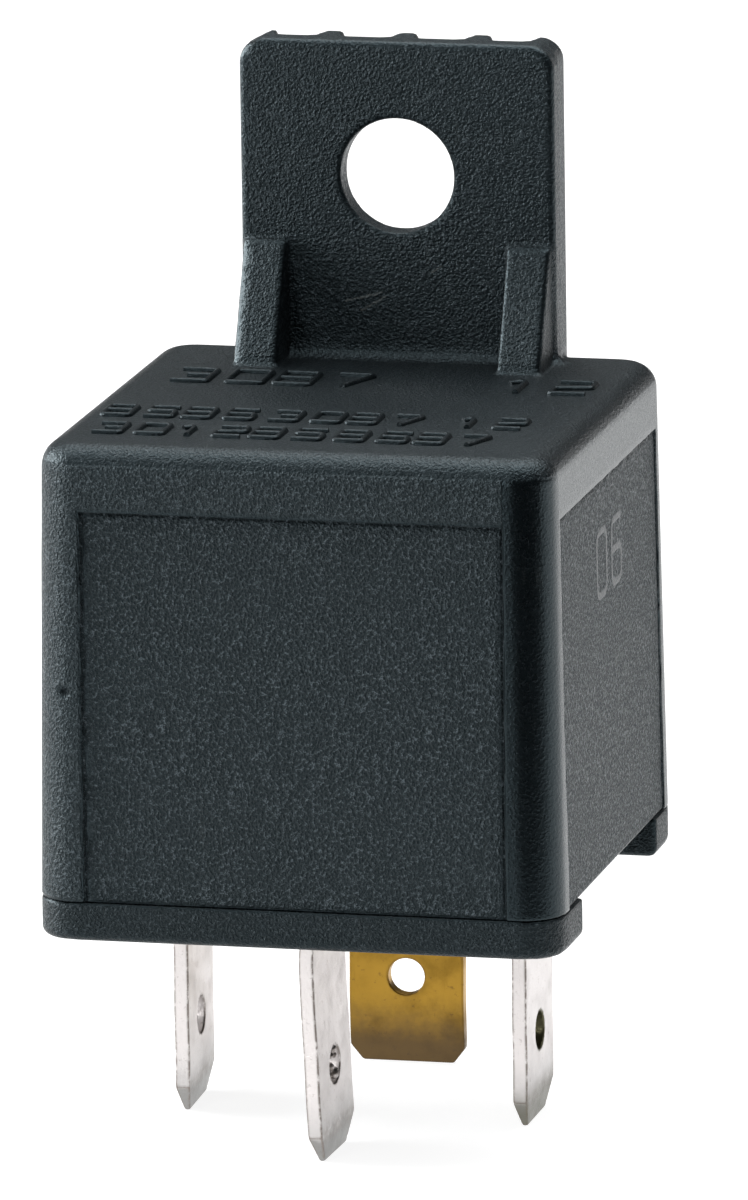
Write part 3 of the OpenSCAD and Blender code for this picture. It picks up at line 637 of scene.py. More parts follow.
def cover_finish(name, rgb, grain_depth, glint_gain, even=0.0):
    """Black moulded plastic. Its grain follows the cover's mask, or is even at a given strength;
    the grain's crests carry painted glints, and broad patches mix dust with a painted sheen.
    """
    f = Finish(name, specular=0.38 if even else 0.5)
    f.shader.inputs["Specular Tint"].default_value = COOL_SHEEN
    edge = f.mask("edge")
    coarse, crest_glint = f.use("grain", size=0.18, curl=0.7)
    fine = f.use("grain", size=0.15, curl=0.3)[0]
    # random lighter patches: partly dust, partly a painted sheen
    dust_and_sheen = f.blotch(7.0, 0.35, 0.75)
    strong = even or f.lerp(f.step(f.mask("grain"), 0.3, 1.0), 0.035, 1.0)
    level = f.times(strong, f.math("SUBTRACT", 1.0, f.times(edge, 0.85)))
    grey = sum(rgb) / 3
    # the colour of the painted glints on the grain's crests
    pale = opaque([(c + grey) / 2 for c in rgb], glint_gain)
    marks = f.times(f.scratch(0.5, 10.0), 0.08)
    if not even:
        for start, end in TAB_SCRATCHES:
            marks = f.math("MAXIMUM", marks, f.use("stroke", start=start, end=end)[0])
        dust = f.blotch(0.55, 0.5, 0.62)
        marks = f.math("MAXIMUM", marks, f.times(f.mask("scuff"), dust))
    body = f.layers(
        opaque(rgb, 0.35),
        # painted glints: the grain's crests painted paler, where light would catch them
        (crest_glint, level, pale),
        # lighter patches: dust and a painted sheen
        (dust_and_sheen, 0.25, opaque(rgb, 1.5)),
        (f.times(edge, f.blotch(1.1, 0.5, 0.72)), 0.3, opaque(rgb, 4.0)),
        (marks, 0.7, (0.16, 0.17, 0.165, 1.0)),
    )
    f.set("Base Color", body)
    f.set("Roughness", f.lerp(level, 0.26, f.lerp(coarse, 0.72, 0.30)))
    normal = f.bump(f.times(coarse, level), grain_depth)
    f.set("Normal", f.bump(f.times(fine, level), grain_depth * 0.1, normal))
    return f.material


def tin_finish(name, rgb):
    """Tinned stamped brass: mottled, with drawn lines, dull edges and a grey tip."""
    f = Finish(name, metallic=1.0)
    edge = f.mask("edge")
    cloud = f.blotch(1.6, 0.35, 0.75)
    drawn = f.scratch(0.16, 14.0)
    ragged = f.math("ADD", f.axis(f.at, "Z"), f.noise(f.at, 1.6, 3.0, 0.6))
    body = f.layers(
        opaque(rgb),
        (cloud, 1.0, opaque(rgb, 0.92)),
        (f.mask("rim"), 1.0, opaque(rgb, 1.2)),
        (f.blotch(0.35, 0.60, 0.70), 0.45, (0.36, 0.31, 0.28, 1.0)),
        (drawn, 0.25, opaque(rgb, 0.6)),
        (f.step(ragged, 4.6, 1.2), 0.5, (0.30, 0.31, 0.31, 1.0)),
        (f.step(ragged, 2.2, 1.7), 0.6, (0.20, 0.20, 0.19, 1.0)),
        (edge, f.blotch(0.5, 0.30, 0.55), (0.26, 0.23, 0.21, 1.0)),
        # painted shade in the right blade's detent hole, and that blade's darker tip
        (f.mask("soot"), 1.0, (0.10, 0.095, 0.055, 1.0)),
    )
    f.set("Base Color", body)
    f.set("Roughness", f.math("ADD", f.lerp(cloud, 0.34, 0.46), f.times(drawn, 0.12)))
    normal = f.bump(f.noise(f.at, 1.8, 3.0, 0.55), 0.020)
    normal = f.bump(f.use("grain", size=0.16, curl=0.8)[0], 0.010, normal)
    f.set("Normal", f.bump(drawn, 0.006, normal))
    return f.material


def brass_finish(name, rgb):
    """Bare brass gone brown: clear patches, dark stains and a dull ragged band at the tip."""
    f = Finish(name, metallic=1.0)
    stain = f.blotch(2.2, 0.42, 0.72)
    drawn = f.scratch(0.22, 12.0)
    ragged = f.math("ADD", f.axis(f.at, "Z"), f.times(f.noise(f.at, 1.3, 4.0, 0.65), 1.6))
    body = f.layers(
        opaque(rgb),
        (stain, 0.6, opaque(rgb, 0.55)),
        (f.blotch(0.45, 0.60, 0.72), 0.55, (0.10, 0.05, 0.03, 1.0)),
        (f.step(ragged, 4.8, 1.6), 0.85, (0.075, 0.055, 0.04, 1.0)),
        (f.mask("edge"), 0.3, (0.10, 0.065, 0.03, 1.0)),
    )
    f.set("Base Color", body)
    f.set("Roughness", f.math("ADD", f.lerp(stain, 0.34, 0.55), f.times(drawn, 0.1)))
    normal = f.bump(f.noise(f.at, 2.6, 3.0, 0.6), 0.012)
    f.set("Normal", f.bump(drawn, 0.004, normal))
    return f.material


def metal_finish(name, rgb, roughness, dull, line_spacing=0.25):
    """Plain machined or plated metal: soft clouding, drawn lines and a few dark spots."""
    f = Finish(name, metallic=1.0)
    cloud = f.blotch(2.4, 0.38, 0.72)
    spots = f.blotch(0.5, 0.62, 0.74)
    coats = ((cloud, 1.0, opaque(rgb, dull)), (spots, 0.35, opaque(rgb, 0.3)))
    f.set("Base Color", f.layers(opaque(rgb), *coats))
    f.set("Roughness", f.lerp(cloud, roughness, roughness + 0.14))
    normal = f.bump(f.noise(f.at, 4.0, 3.0, 0.6), 0.006)
    f.set("Normal", f.bump(f.scratch(line_spacing, 9.0), 0.003, normal))
    return f.material


def bobbin_finish(name, rgb):
    """Cream glass-filled plastic with faint fibres and flow marks."""
    f = Finish(name)
    flow = f.blotch(3.0, 0.35, 0.75)
    fibre = f.scratch(0.12, 5.0)
    coats = ((flow, 0.5, opaque(rgb, 0.78)), (fibre, 0.3, (0.80, 0.76, 0.62, 1.0)))
    f.set("Base Color", f.layers(opaque(rgb), *coats))
    f.set("Roughness", f.lerp(flow, 0.42, 0.58))
    f.set("Normal", f.bump(f.use("grain", size=0.3)[0], 0.012))
    return f.material


# how each finish is made: its maker, the colour it takes and the maker's further values
FINISHES = {
    "cover_plastic": (cover_finish, "cover", 0.17, 14.0),
    "relief_plastic": (cover_finish, "cover", 0.05, 8.0, 0.4),
    "base_plastic": (cover_finish, "base", 0.13, 9.0, 0.75),
    "tinned_blade": (tin_finish, "tin"),
    "brass_blade": (brass_finish, "brass"),
    "magnet_steel": (metal_finish, "steel", 0.34, 0.8),
    "plated_strip": (metal_finish, "steel", 0.28, 0.86),
    "rivet_steel": (metal_finish, "steel", 0.24, 0.9),
    "coil_wire": (metal_finish, "enamel", 0.22, 0.75, 0.1),
    "spring_bronze": (metal_finish, "bronze", 0.26, 0.82),
    "contact_silver": (metal_finish, "silver", 0.2, 0.85),
    "braid_copper": (metal_finish, "copper", 0.3, 0.7, 0.12),
    "bobbin_plastic": (bobbin_finish, "bobbin"),
}


_finishes = {}


def finish(name):
    """A finish of the object, built once; it takes the name of the frame's plain material."""
    if name not in _finishes:
        if name in bpy.data.materials:
            bpy.data.materials[name].name = "plain_" + name
        make, key, *values = FINISHES[name]
        _finishes[name] = make(name, getattr(bpy.context.scene.relay_finish, key), *values)
    return _finishes[name]


# ---------------------------------------------------------------- cover


def lean(c, z):
    """How far a drafted wall leans in at a level."""
    return (z - c.seam) * math.tan(c.draft)


def wobble(v, seed):
    """A small uneven wave, from -1 to 1, for moulded edges that aren't quite straight."""
    waves = ((1.9, 1.0), (4.7, 2.3), (10.3, 4.1))
    return sum(np.sin(v * k + seed * s) for k, s in waves) / len(waves)


def cover_levels(c, t):
    roof = c.seam + c.height
    return SimpleNamespace(
        roof=roof,
        ceiling=roof - c.roof,
        panel=roof - c.panel_head,
        tab_top=COVER_HIGH.z,
        tab_front=c.depth / 2 - t.inset,
        hole=Vector(MOUNTS["bracket_hole"]["pos_m"]) / MM,
        hole_r=MOUNTS["bracket_hole"]["dims"]["r_mm"],
    )


def tab_field(x, y, z, c, t, at):
    """The tab's plate with its ribs on the back."""
    half = t.width / 2
    middle = at.tab_front + t.thickness / 2
    low = at.ceiling + 0.2
    # its lower end lies inside the roof, 10 below the ceiling
    centre, reach = (low + at.tab_top) / 2 - 5, (at.tab_top - low) / 2 + 5
    outline = round_rect(x, z - centre, half, reach, t.corner)
    d = meet_round(outline, np.abs(y - middle) - t.thickness / 2, t.edge)
    back = at.tab_front + t.thickness
    rise = (y - back) / t.rib_height
    inner = outline + 0.04
    for i in range(-2, 3):
        outer = abs(i) == 2
        at_x = math.copysign(half - 0.04 - t.rib_width / 2, i) if outer else i * t.rib_pitch
        slope = t.rib_width * 0.2 * np.clip(rise, 0, 1)
        left = (at_x - t.rib_width / 2 + (0 if i == -2 else slope)) - x
        right = x - (at_x + t.rib_width / 2 - (0 if i == 2 else slope))
        rib = meet_round(np.maximum(left, right), y - back - t.rib_height, 0.2)
        rib = meet_round(rib, inner, 0.15)
        if i == 0:
            rib = meet_round(rib, at.hole_r + 0.9 - np.abs(z - at.hole.z), 0.2)
        d = join_round(d, np.maximum(rib, back - 0.5 - y), 0.15)
    return d


def gusset_field(x, y, z, c, t, at):
    """The two props beside the tab, with sloping fronts and blunt tops."""
    foot, top = at.tab_front - t.gusset_depth, at.tab_front - 0.35
    run, rise = top - foot, t.gusset_height
    front = ((foot - y) * rise + (z - at.roof) * run) / math.hypot(run, rise)
    profile = meet_round(front, z - at.roof - rise, 0.3)
    place = t.width / 2 - 0.2 - t.gusset_width / 2
    d = meet_round(profile, np.abs(np.abs(x) - place) - t.gusset_width / 2, 0.28)
    return np.maximum(d, np.maximum(y - at.tab_front - 0.6, at.roof - 0.6 - z))


def bowed(v, half):
    """1 in the middle of a panel, falling to 0 at its sides."""
    return np.maximum(np.cos(np.clip(v / half, -1, 1) * np.pi / 2) * (np.abs(v) < half), 0)


# the nick in the left front corner and the dent beside it: place and radius
DENTS = ((-12.30, -14.22, 25.25, 0.40), (-12.85, -14.15, 25.40, 0.26))


def cover_field_for(c, t):
    """The whole cover's field, and its levels."""
    at = cover_levels(c, t)
    panel_x, panel_y = c.width / 2 - c.panel_margin, c.depth / 2 - c.panel_margin
    inner_w, inner_d = c.width / 2 - c.wall, c.depth / 2 - c.wall

    def field(x, y, z):
        inwards = lean(c, z)
        wall = round_rect(x, y, c.width / 2 - inwards, c.depth / 2 - inwards, c.corner)
        low = np.clip((z - c.seam) / (at.panel - c.seam), 0, 1)
        middle = np.sin(np.pi * low)
        bow, bow_y = bowed(x, panel_x), bowed(y, panel_y)
        facing_x = np.abs(x) > panel_x + 0.5
        wall = wall + c.sink * middle * np.where(facing_x, bow_y, bow)
        # panels: each a shallow recess whose edges wander a little
        head = z - at.panel + 0.03 * wobble(x + y, 3)
        edge_x = np.abs(x) - panel_x + 0.045 * (1 - np.sign(x)) * wobble(z, 1)
        edge_y = np.abs(y) - panel_y + 0.07 * wobble(z, 2)
        body = meet_round(wall, z - at.roof, c.top)
        for edge in (edge_x, edge_y):
            rim = np.maximum(edge, head)
            step = c.panel_step + c.groove * np.clip(1 - np.abs(rim + 0.08) / 0.1, 0, 1)
            body = np.maximum(body, -np.maximum(rim, -(wall + step)))
        tab = tab_field(x, y, z, c, t, at)
        body = join_round(body, tab, np.where(y < at.tab_front + 0.4, t.foot, 0.3))
        body = join_round(body, gusset_field(x, y, z, c, t, at), 0.22)
        body = meet_round(body, c.seam - z, c.lip)
        hole = at.hole_r - np.hypot(x, z - at.hole.z)
        body = meet_round(body, hole, 0.12)
        inside = round_rect(x, y, inner_w - inwards, inner_d - inwards, c.corner - c.wall)
        inside = meet_round(inside, z - at.ceiling, 0.4)
        body = np.maximum(body, -np.maximum(inside, -(z - c.seam + 3)))
        for px, py, pz, r in DENTS:
            flat = np.sqrt((x - px) ** 2 + ((y - py) / 0.8) ** 2 + ((z - pz) / 0.7) ** 2) - r
            body = np.maximum(body, -flat)
        return body

    return field, at


def cover_grain(c, at):
    """1 where the mould was eroded coarse, in the panels; less on the tab, roof and frame."""
    panel_x, panel_y = c.width / 2 - c.panel_margin, c.depth / 2 - c.panel_margin

    def mask(x, y, z):
        panel = (np.abs(x) < panel_x) & (np.abs(y) > panel_y) & (z < at.panel)
        panel |= (np.abs(y) < panel_y) & (np.abs(x) > panel_x) & (z < at.panel)
        front = (y < -panel_y) & (x < panel_x)
        plain = np.where(z > at.roof - 1, 0.54, np.where(front, 0.8, 0.40))
        return np.where(panel, 1.0, np.where(z > at.roof + 0.5, 0.66, plain))

    return mask


# rubbed patches on the right wall: y, z and their radii along y and z
SCUFFS = ((2.8, 23.9, 1.4, 0.5), (1.6, 24.6, 0.5, 0.6), (4.0, 23.2, 0.7, 0.3))


def scuff_mask(x, y, z):
    """Pale rubbed patches on the right wall."""
    d = [np.hypot((y - py) / ry, (z - pz) / rz) for py, pz, ry, rz in SCUFFS]
    return np.where(x > 12, np.clip(1.4 - np.min(d, axis=0), 0, 1), 0.0)


class RELAY_OT_cover(bpy.types.Operator):
    """Build the moulded cover with its panels, bracket tab, ribs and gussets"""

    bl_idname = "relay.cover"
    bl_label = "Cover"

    def execute(self, context):
        c, t = sizes("cover"), sizes("tab")
        field, at = cover_field_for(c, t)
        wide, deep = c.width / 2, c.depth / 2
        edge_x, edge_y = wide - c.panel_margin, deep - c.panel_margin
        half = t.width / 2
        inner = half - 0.2 - t.gusset_width
        xs = [(-12.8, -12.0, 0.09), (-3.4, 3.4, 0.24)]
        for s in (-1, 1):
            xs += [near(s * edge_x, 0.24, 0.24, 0.06), near(s * (wide - 1.2), 1.35, 1.3, 0.25)]
            xs += [near(s * half, 0.4, 0.3, 0.13), near(s * inner, 0.4, 0.4, 0.13)]
            xs += [(s * (half - 2) - 0.2, s * half, 0.22), near(s * t.rib_pitch, 1.1, 1.1, 0.22)]
        front = at.tab_front
        ys = [near(-edge_y, 0.2, 0.2, 0.06), near(edge_y, 0.2, 0.2, 0.06)]
        ys += [near(-deep, 0.1, 1.6, 0.2), near(-deep, 0.1, 0.5, 0.1)]
        ys += [near(front, 0.4, 3.1, 0.13), (front - t.gusset_depth - 0.3, front, 0.25)]
        ys += [near(deep, 2.4, 0.1, 0.2)]
        zs = [near(c.seam, 0.1, 0.3, 0.06), near(at.panel, 0.2, 0.1, 0.06), (24.7, 25.9, 0.09)]
        zs += [near(at.roof, 1.5, 0.2, 0.13), near(at.ceiling, 0.5, 0.1, 0.2)]
        zs += [(at.roof, at.roof + 1.1, 0.16), (at.roof + 5.8, at.roof + 6.8, 0.13)]
        zs += [near(at.hole.z, 3.4, 3.4, 0.24), near(at.tab_top, 1.6, 0.1, 0.13)]
        axes = (
            stations(-wide - 0.3, wide + 0.3, 0.9, xs),
            stations(-deep - 0.3, deep + 0.3, 0.9, ys),
            stations(c.seam - 0.3, at.tab_top + 0.3, 0.75, zs),
        )
        masks = {"grain": cover_grain(c, at), "scuff": scuff_mask}
        piece = skin("cover_shell", field, axes, 0.15, masks=masks)
        finish_piece(piece, "housing", "cover_plastic", "cover")
        return {"FINISHED"}


# ---------------------------------------------------------------- base


# middles of the blades (x, y); slots for what stands in the base above them (x, y, half sizes)
BLADE_PLACES = {"30": (0.3, -9.9), "85": (9.55, -0.8), "86": (-8.95, -0.8), "87": (0.3, 9.5)}
INNER_SLOTS = (
    (0.3, -10.4, 0.4, 1.2),
    (9.55, -0.8, 0.4, 1.5),
    (-8.95, -0.8, 0.4, 1.5),
    (0.3, 9.5, 2.7, 0.4),
)
CARRIER_FOOT = (0.3, 11.7, 2.5, 0.4)


def blade_slots(b):
    """The blades' slots: x, y, half size along x and y."""
    found = []
    for name, (x, y) in sorted(BLADE_PLACES.items()):
        half = (b.width / 2, b.thickness / 2)
        found.append((x, y, *(half if name == "87" else half[::-1])))
    return found


def pocket(x, y, z, slot, gap, low, high):
    """Field of a slot (x, y, half size along x and y) with a gap round it, between two levels."""
    px, py, hx, hy = slot
    return block(x, y, z, (px - hx - gap, py - hy - gap, low), (px + hx + gap, py + hy + gap, high))


class RELAY_OT_base(bpy.types.Operator):
    """Build the base block that closes the cover and holds the blades"""

    bl_idname = "relay.base"
    bl_label = "Base"

    def execute(self, context):
        c, s, b = sizes("cover"), sizes("base"), sizes("blade")
        low, floor = BASE_LOW.z, BASE_HIGH.z
        wide, deep = c.width / 2, c.depth / 2
        plug = [half - c.wall - s.plug_gap for half in (wide, deep)]
        shoulder = c.seam - 0.7
        slots = blade_slots(b)
        g, row = s.slot_gap, b.row
        spare = (row - b.width / 2, 0.7, low - 1), (row + b.width / 2, 0.7 + b.thickness, low + 0.6)

        def field(x, y, z):
            rim = round_rect(x, y, wide, deep, c.corner)
            rim = meet_round(rim, low - z, s.edge)
            rim = meet_round(rim, z - c.seam + 0.01, 0.09)
            notch = np.maximum(
                np.abs(y - s.notch_place) - s.notch_length / 2, wide - s.notch_depth - np.abs(x)
            )
            rim = meet_round(rim, -notch, 0.18)
            top = round_rect(x, y, *plug, c.corner - c.wall)
            d = join_round(rim, meet_round(np.maximum(top, c.seam - 0.5 - z), z - floor, 0.2), 0.05)
            for slot in slots:
                for gap, depth in ((s.mouth_gap, s.mouth_depth), (g, shoulder - low)):
                    d = meet_round(d, -pocket(x, y, z, slot, gap, low - 1, low + depth), 0.06)
            for slot in INNER_SLOTS:
                d = np.maximum(d, -pocket(x, y, z, slot, g, low + 0.5, floor + 1))
            d = np.maximum(d, -pocket(x, y, z, CARRIER_FOOT, g, floor - 1.4, floor + 1))
            return meet_round(d, -block(x, y, z, *spare), 0.06)

        xs = [near(-wide, 0.1, 0.9, 0.16), near(wide, 0.9, 0.1, 0.16)]
        ys = [near(-deep, 0.1, 0.9, 0.16), near(deep, 0.9, 0.1, 0.16)]
        for e in (wide - s.notch_depth, wide - c.wall):
            xs += [near(-e, 0.25, 0.25, 0.12), near(e, 0.25, 0.25, 0.12)]
        notch = (s.notch_place - s.notch_length / 2, s.notch_place + s.notch_length / 2)
        ys += [near(e, 0.25, 0.25, 0.12) for e in (*notch, wide - c.wall, -deep + c.wall)]
        for px, py, hx, hy in slots:
            xs += [near(px - hx, 0.4, 0.2, 0.12), near(px + hx, 0.2, 0.4, 0.12)]
            ys += [near(py - hy, 0.4, 0.2, 0.12), near(py + hy, 0.2, 0.4, 0.12)]
        zs = [near(low, 0.1, 0.7, 0.1), near(c.seam, 0.25, 0.1, 0.06), near(floor, 0.3, 0.1, 0.1)]
        axes = (
            stations(-wide - 0.3, wide + 0.3, 0.8, xs),
            stations(-deep - 0.3, deep + 0.3, 0.8, ys),
            stations(low - 0.3, floor + 0.3, 0.4, zs),
        )
        piece = skin("base_block", field, axes, 0.12)
        finish_piece(piece, "housing", "base_plastic", "base_plate")
        return {"FINISHED"}


# ---------------------------------------------------------------- blades


def strip_bend(u, v, t, r):
    """Profile of a strip round one corner: outer faces at u = 0 and v = 0, inwards negative."""
    return np.maximum(meet_round(u, v, r + t), -meet_round(u + t, v + t, r))


def blade_field(b, across, along, z, chamfer, bevel):
    """A flat blade from its tip upwards: across its thickness, along its width."""
    w, t = b.width / 2, b.thickness / 2
    run, rise = chamfer
    corner = ((np.abs(along) - w + run) * rise - z * run) / math.hypot(run, rise)
    thin, start = bevel
    slope = ((np.abs(across) - t + thin) * start - z * thin) / math.hypot(thin, start)
    outline = np.maximum(np.maximum(np.abs(along) - w, corner), -z)
    hole = b.hole / 2 - np.hypot(along, z - b.hole_rise)
    faces = meet_round(np.abs(across) - t, slope, 0.05)
    d = meet_round(outline, faces, b.edge)
    return meet_round(d, hole, 0.09)


# tips: the run and rise of the corners, then of the bevels
TIN_TIP = ((1.1, 1.5), (0.25, 1.5))
BRASS_TIP = ((0.65, 0.85), (0.22, 1.3))
# where the narrow face begins, the radius of the rivets' holes and the inner sheet's thickness
RIM_FROM = 3.05
RIVET_HOLE = 0.815
SHEET = 0.8
# the middle of the detent hole and how far the painted shade reaches round it
HOLE_SHADE_RISE = 4.75
HOLE_SHADE_REACH = 1.12


def blade_axes(b, top, *extra):
    """Grid lines for a blade that stands at the local origin."""
    w, t = b.width / 2, b.thickness / 2
    thin = [near(-t, 0.1, 0.3, 0.055), near(t, 0.3, 0.1, 0.055)]
    wide = [near(-w, 0.1, 1.3, 0.11), near(w, 1.3, 0.1, 0.11), near(0, 1.2, 1.2, 0.11)]
    tall = [(-0.2, 1.7, 0.1), near(b.hole_rise, 1.2, 1.2, 0.11), *extra]
    return (
        stations(-t - 0.15, t + 0.15, 0.2, thin),
        stations(-w - 0.2, w + 0.2, 0.35, wide),
        stations(-0.2, top, 0.5, tall),
    )


def lean_blade(points, place, level, bend, twist):
    """Bends and twists what lies below a level, as a knocked blade does."""
    below = np.clip((level - points[:, 2]) / 0.6, 0, 1)
    moved = points - np.array([place[0], place[1], level])
    a = twist * below
    x = moved[:, 0] * np.cos(a) - moved[:, 1] * np.sin(a)
    y = moved[:, 0] * np.sin(a) + moved[:, 1] * np.cos(a)
    z = moved[:, 2]
    k = bend * below
    x, z = x * np.cos(k) - z * np.sin(k), x * np.sin(k) + z * np.cos(k)
    ripple = 0.012 * np.sin(points[:, 2] * 1.3 + place[0])
    return np.stack([x + ripple, y, z], 1) + np.array([place[0], place[1], level])


# height of the coil terminals' posts above the base's floor
POST_RISE = 5.4
# drops in the front blade's hole, about the hole's middle, and a burr on the right blade
SOLDER = (
    (0.22, 0.10, 0.80, 0.26),
    (0.25, -0.42, 0.55, 0.20),
    (0.20, 0.50, 0.38, 0.17),
    (0.18, -0.25, -0.10, 0.24),
    (0.24, 0.15, -0.55, 0.30),
    (0.20, -0.55, -0.50, 0.18),
    (0.26, 0.55, -0.45, 0.15),
)
BURR = (
    (9.22, -4.02, 11.45, 0.10),
    (9.30, -4.05, 11.15, 0.13),
    (9.20, -3.98, 10.85, 0.08),
)


class RELAY_OT_blades(bpy.types.Operator):
    """Build the four stamped terminals, from the blade's tip to its post, flag or carrier"""

    bl_idname = "relay.blades"
    bl_label = "Blades"

    def execute(self, context):
        b = sizes("blade")
        base, seam, floor = BASE_LOW.z, COVER_LOW.z, BASE_HIGH.z
        shoulder, level = seam - 0.7, base - 0.3
        for name, twist in (("85", 0.0), ("86", b.twist_86)):
            self.coil_terminal(b, name, twist, shoulder, level, floor + POST_RISE)
        self.flag_terminal(b, shoulder, level, floor)
        self.carrier_terminal(b, shoulder)
        return {"FINISHED"}

    def build(self, name, field, axes, slot, bend=0.0, twist=0.0, level=0.0):
        """Skins a terminal; bend and twist act on what lies below the level."""
        place = BLADE_PLACES[name]
        py = place[1]

        def shape(points):
            return lean_blade(points, place, level, bend, twist)

        def rim(x, y, z):
            """The narrow faces at the front and the back."""
            return np.clip((np.abs(y - py) - RIM_FROM) * 20, 0, 1)

        def soot(x, y, z):
            """Painted shade inside the right blade's detent hole and round its edge, and a darker
            tip on that blade.
            """
            r = np.hypot(y - py, z - HOLE_SHADE_RISE)
            hole = np.where(r < HOLE_SHADE_REACH, np.clip((HOLE_SHADE_REACH + 0.04 - r) * 20, 0, 1), 0.0)
            return np.maximum(hole, 0.6 * np.clip(1.5 - z / 1.6, 0, 1)) * (name == "85")

        piece = skin("blade_" + name, field, axes, 0.09, shape, {"soot": soot, "rim": rim})
        finish_piece(piece, "housing", slot, "terminal_" + name)

    def beads(self, x, y, z, beads):
        """Field of small round lumps, such as solder drops and burrs: (x, y, z, radius) each."""
        d = np.full(np.shape(x), 9.0)
        for bx, by, bz, r in beads:
            d = join_round(d, np.sqrt((x - bx) ** 2 + (y - by) ** 2 + (z - bz) ** 2) - r, 0.05)
        return d

    def coil_terminal(self, b, name, twist, shoulder, level, top):
        """A side blade with its post, which is notched for the coil's end."""
        px, py = BLADE_PLACES[name]

        def field(x, y, z):
            along, across = y - py, x - px
            d = blade_field(b, across, along, z, *TIN_TIP)
            d = np.maximum(d, z - shoulder)
            post = meet_round(np.abs(along) - 1.5, np.abs(across) - b.thickness / 2, b.edge)
            post = np.maximum(post, np.maximum(z - top, shoulder - 0.1 - z))
            neck = np.maximum(np.abs(z - top + 1.6) - 0.85, 0.9 - np.abs(along))
            d = np.minimum(d, np.maximum(post, -neck))
            return np.minimum(d, self.beads(x, y, z, BURR)) if name == "85" else d

        thin, wide, tall = blade_axes(b, top + 0.2, near(top, 2.6, 0.1, 0.2))
        axes = (thin + px, wide + py, tall)
        self.build(name, field, axes, "tinned_blade", twist=twist, level=level)

    def flag_terminal(self, b, shoulder, level, floor):
        """The front blade with its tang and the flag that is riveted to the yoke."""
        px, py = BLADE_PLACES["30"]
        front = box_mm("yoke")[0].y
        rivet_x, rivet_z = px + 3.7, floor + 2.7
        half, top = SHEET / 2, floor + 4.9

        def field(x, y, z):
            d = blade_field(b, x - px, y - py, z, *TIN_TIP)
            d = np.maximum(d, z - shoulder)
            low, high = (px - half, front - 2.4, shoulder - 0.1), (px + half, front, top)
            tang = block(x, y, z, low, high, b.edge)
            low, high = (px - half, front - SHEET, floor + 0.5), (px + 5.6, front, top)
            flag = block(x, y, z, low, high, b.edge)
            hole = RIVET_HOLE - np.hypot(x - rivet_x, z - rivet_z)
            d = np.minimum(d, np.maximum(np.minimum(tang, flag), -hole))
            return np.minimum(d, self.beads(x - px, y - py, z - b.hole_rise, SOLDER))

        thin, wide, tall = blade_axes(b, floor + 5.2, (floor, floor + 5, 0.2))
        xs = np.concatenate([thin[:-1] + px, stations(px + 0.55, px + 5.8, 0.2, [])])
        sheet = [front + d for d in (-0.86, -0.8, -0.74, -0.06, 0, 0.1)]
        ys = np.unique(np.round(np.concatenate([wide + py, sheet, [-11.66, -11.54]]), 4))
        self.build("30", field, (xs, ys, tall), "tinned_blade", b.bend_30, b.twist_30, level)

    def carrier_terminal(self, b, shoulder):
        """The rear brass blade, which turns over to carry the fixed contact."""
        px, py = BLADE_PLACES["87"]
        low, high = box_mm("terminal_87")
        hole_y = sum(corner.y for corner in box_mm("fixed_contact")) / 2

        def field(x, y, z):
            d = blade_field(b, y - py, x - px, z, *BRASS_TIP)
            d = np.maximum(d, z - shoulder)
            strip = strip_bend(y - high.y, z - high.z, SHEET, 0.6)
            strip = np.maximum(strip, np.maximum(low.y - y, shoulder - 0.1 - z))
            strip = meet_round(strip, np.abs(x - px) - 2.7, b.edge)
            hole = RIVET_HOLE - np.hypot(x - px, y - hole_y)
            hole = np.maximum(hole, high.z - 2 - z)
            return np.minimum(d, np.maximum(strip, np.where(z > high.z - 2, hole, -1)))

        thin, wide, tall = blade_axes(b, high.z + 0.2, near(high.z, 1.8, 0.1, 0.11))
        ys = np.concatenate([stations(low.y - 0.2, py - 0.7, 0.2, []), thin + py])
        self.build("87", field, (wide + px, ys, tall), "brass_blade")


# ---------------------------------------------------------------- repeated parts


def turned(name, outline, segments=40, loop=False):
    """A mesh turned about Z from (radius, level) points; a radius of 0 gives a closed pole."""
    points, rings = [], []
    for r, level in outline:
        first = len(points)
        if r == 0:
            rings.append([first] * segments)
            points.append((0, 0, level * MM))
            continue
        rings.append(range(first, first + segments))
        for i in range(segments):
            a = math.tau * i / segments
            points.append((r * math.cos(a) * MM, r * math.sin(a) * MM, level * MM))
    pairs = list(zip(rings, rings[1:])) + ([(rings[-1], rings[0])] if loop else [])
    faces = []
    for low, high in pairs:
        for i in range(segments):
            j = (i + 1) % segments
            faces.append(list(dict.fromkeys((low[i], low[j], high[j], high[i]))))
    mesh = bpy.data.meshes.new(name)
    mesh.from_pydata(points, [], faces)
    return mesh


def line_mesh(name, lines):
    """A mesh of edges from lists of points in millimetres; lone points stay single vertices."""
    points, edges = [], []
    for line in lines:
        first = len(points)
        points += [tuple(v * MM for v in p) for p in line]
        closed = len(line) > 2 and line[0] == line[-1]
        if closed:
            points.pop()
        count = len(points) - first
        edges += [(first + i, first + i + 1) for i in range(count - 1)]
        if closed:
            edges.append((first + count - 1, first))
    mesh = bpy.data.meshes.new(name)
    mesh.from_pydata(points, edges, [])
    return mesh


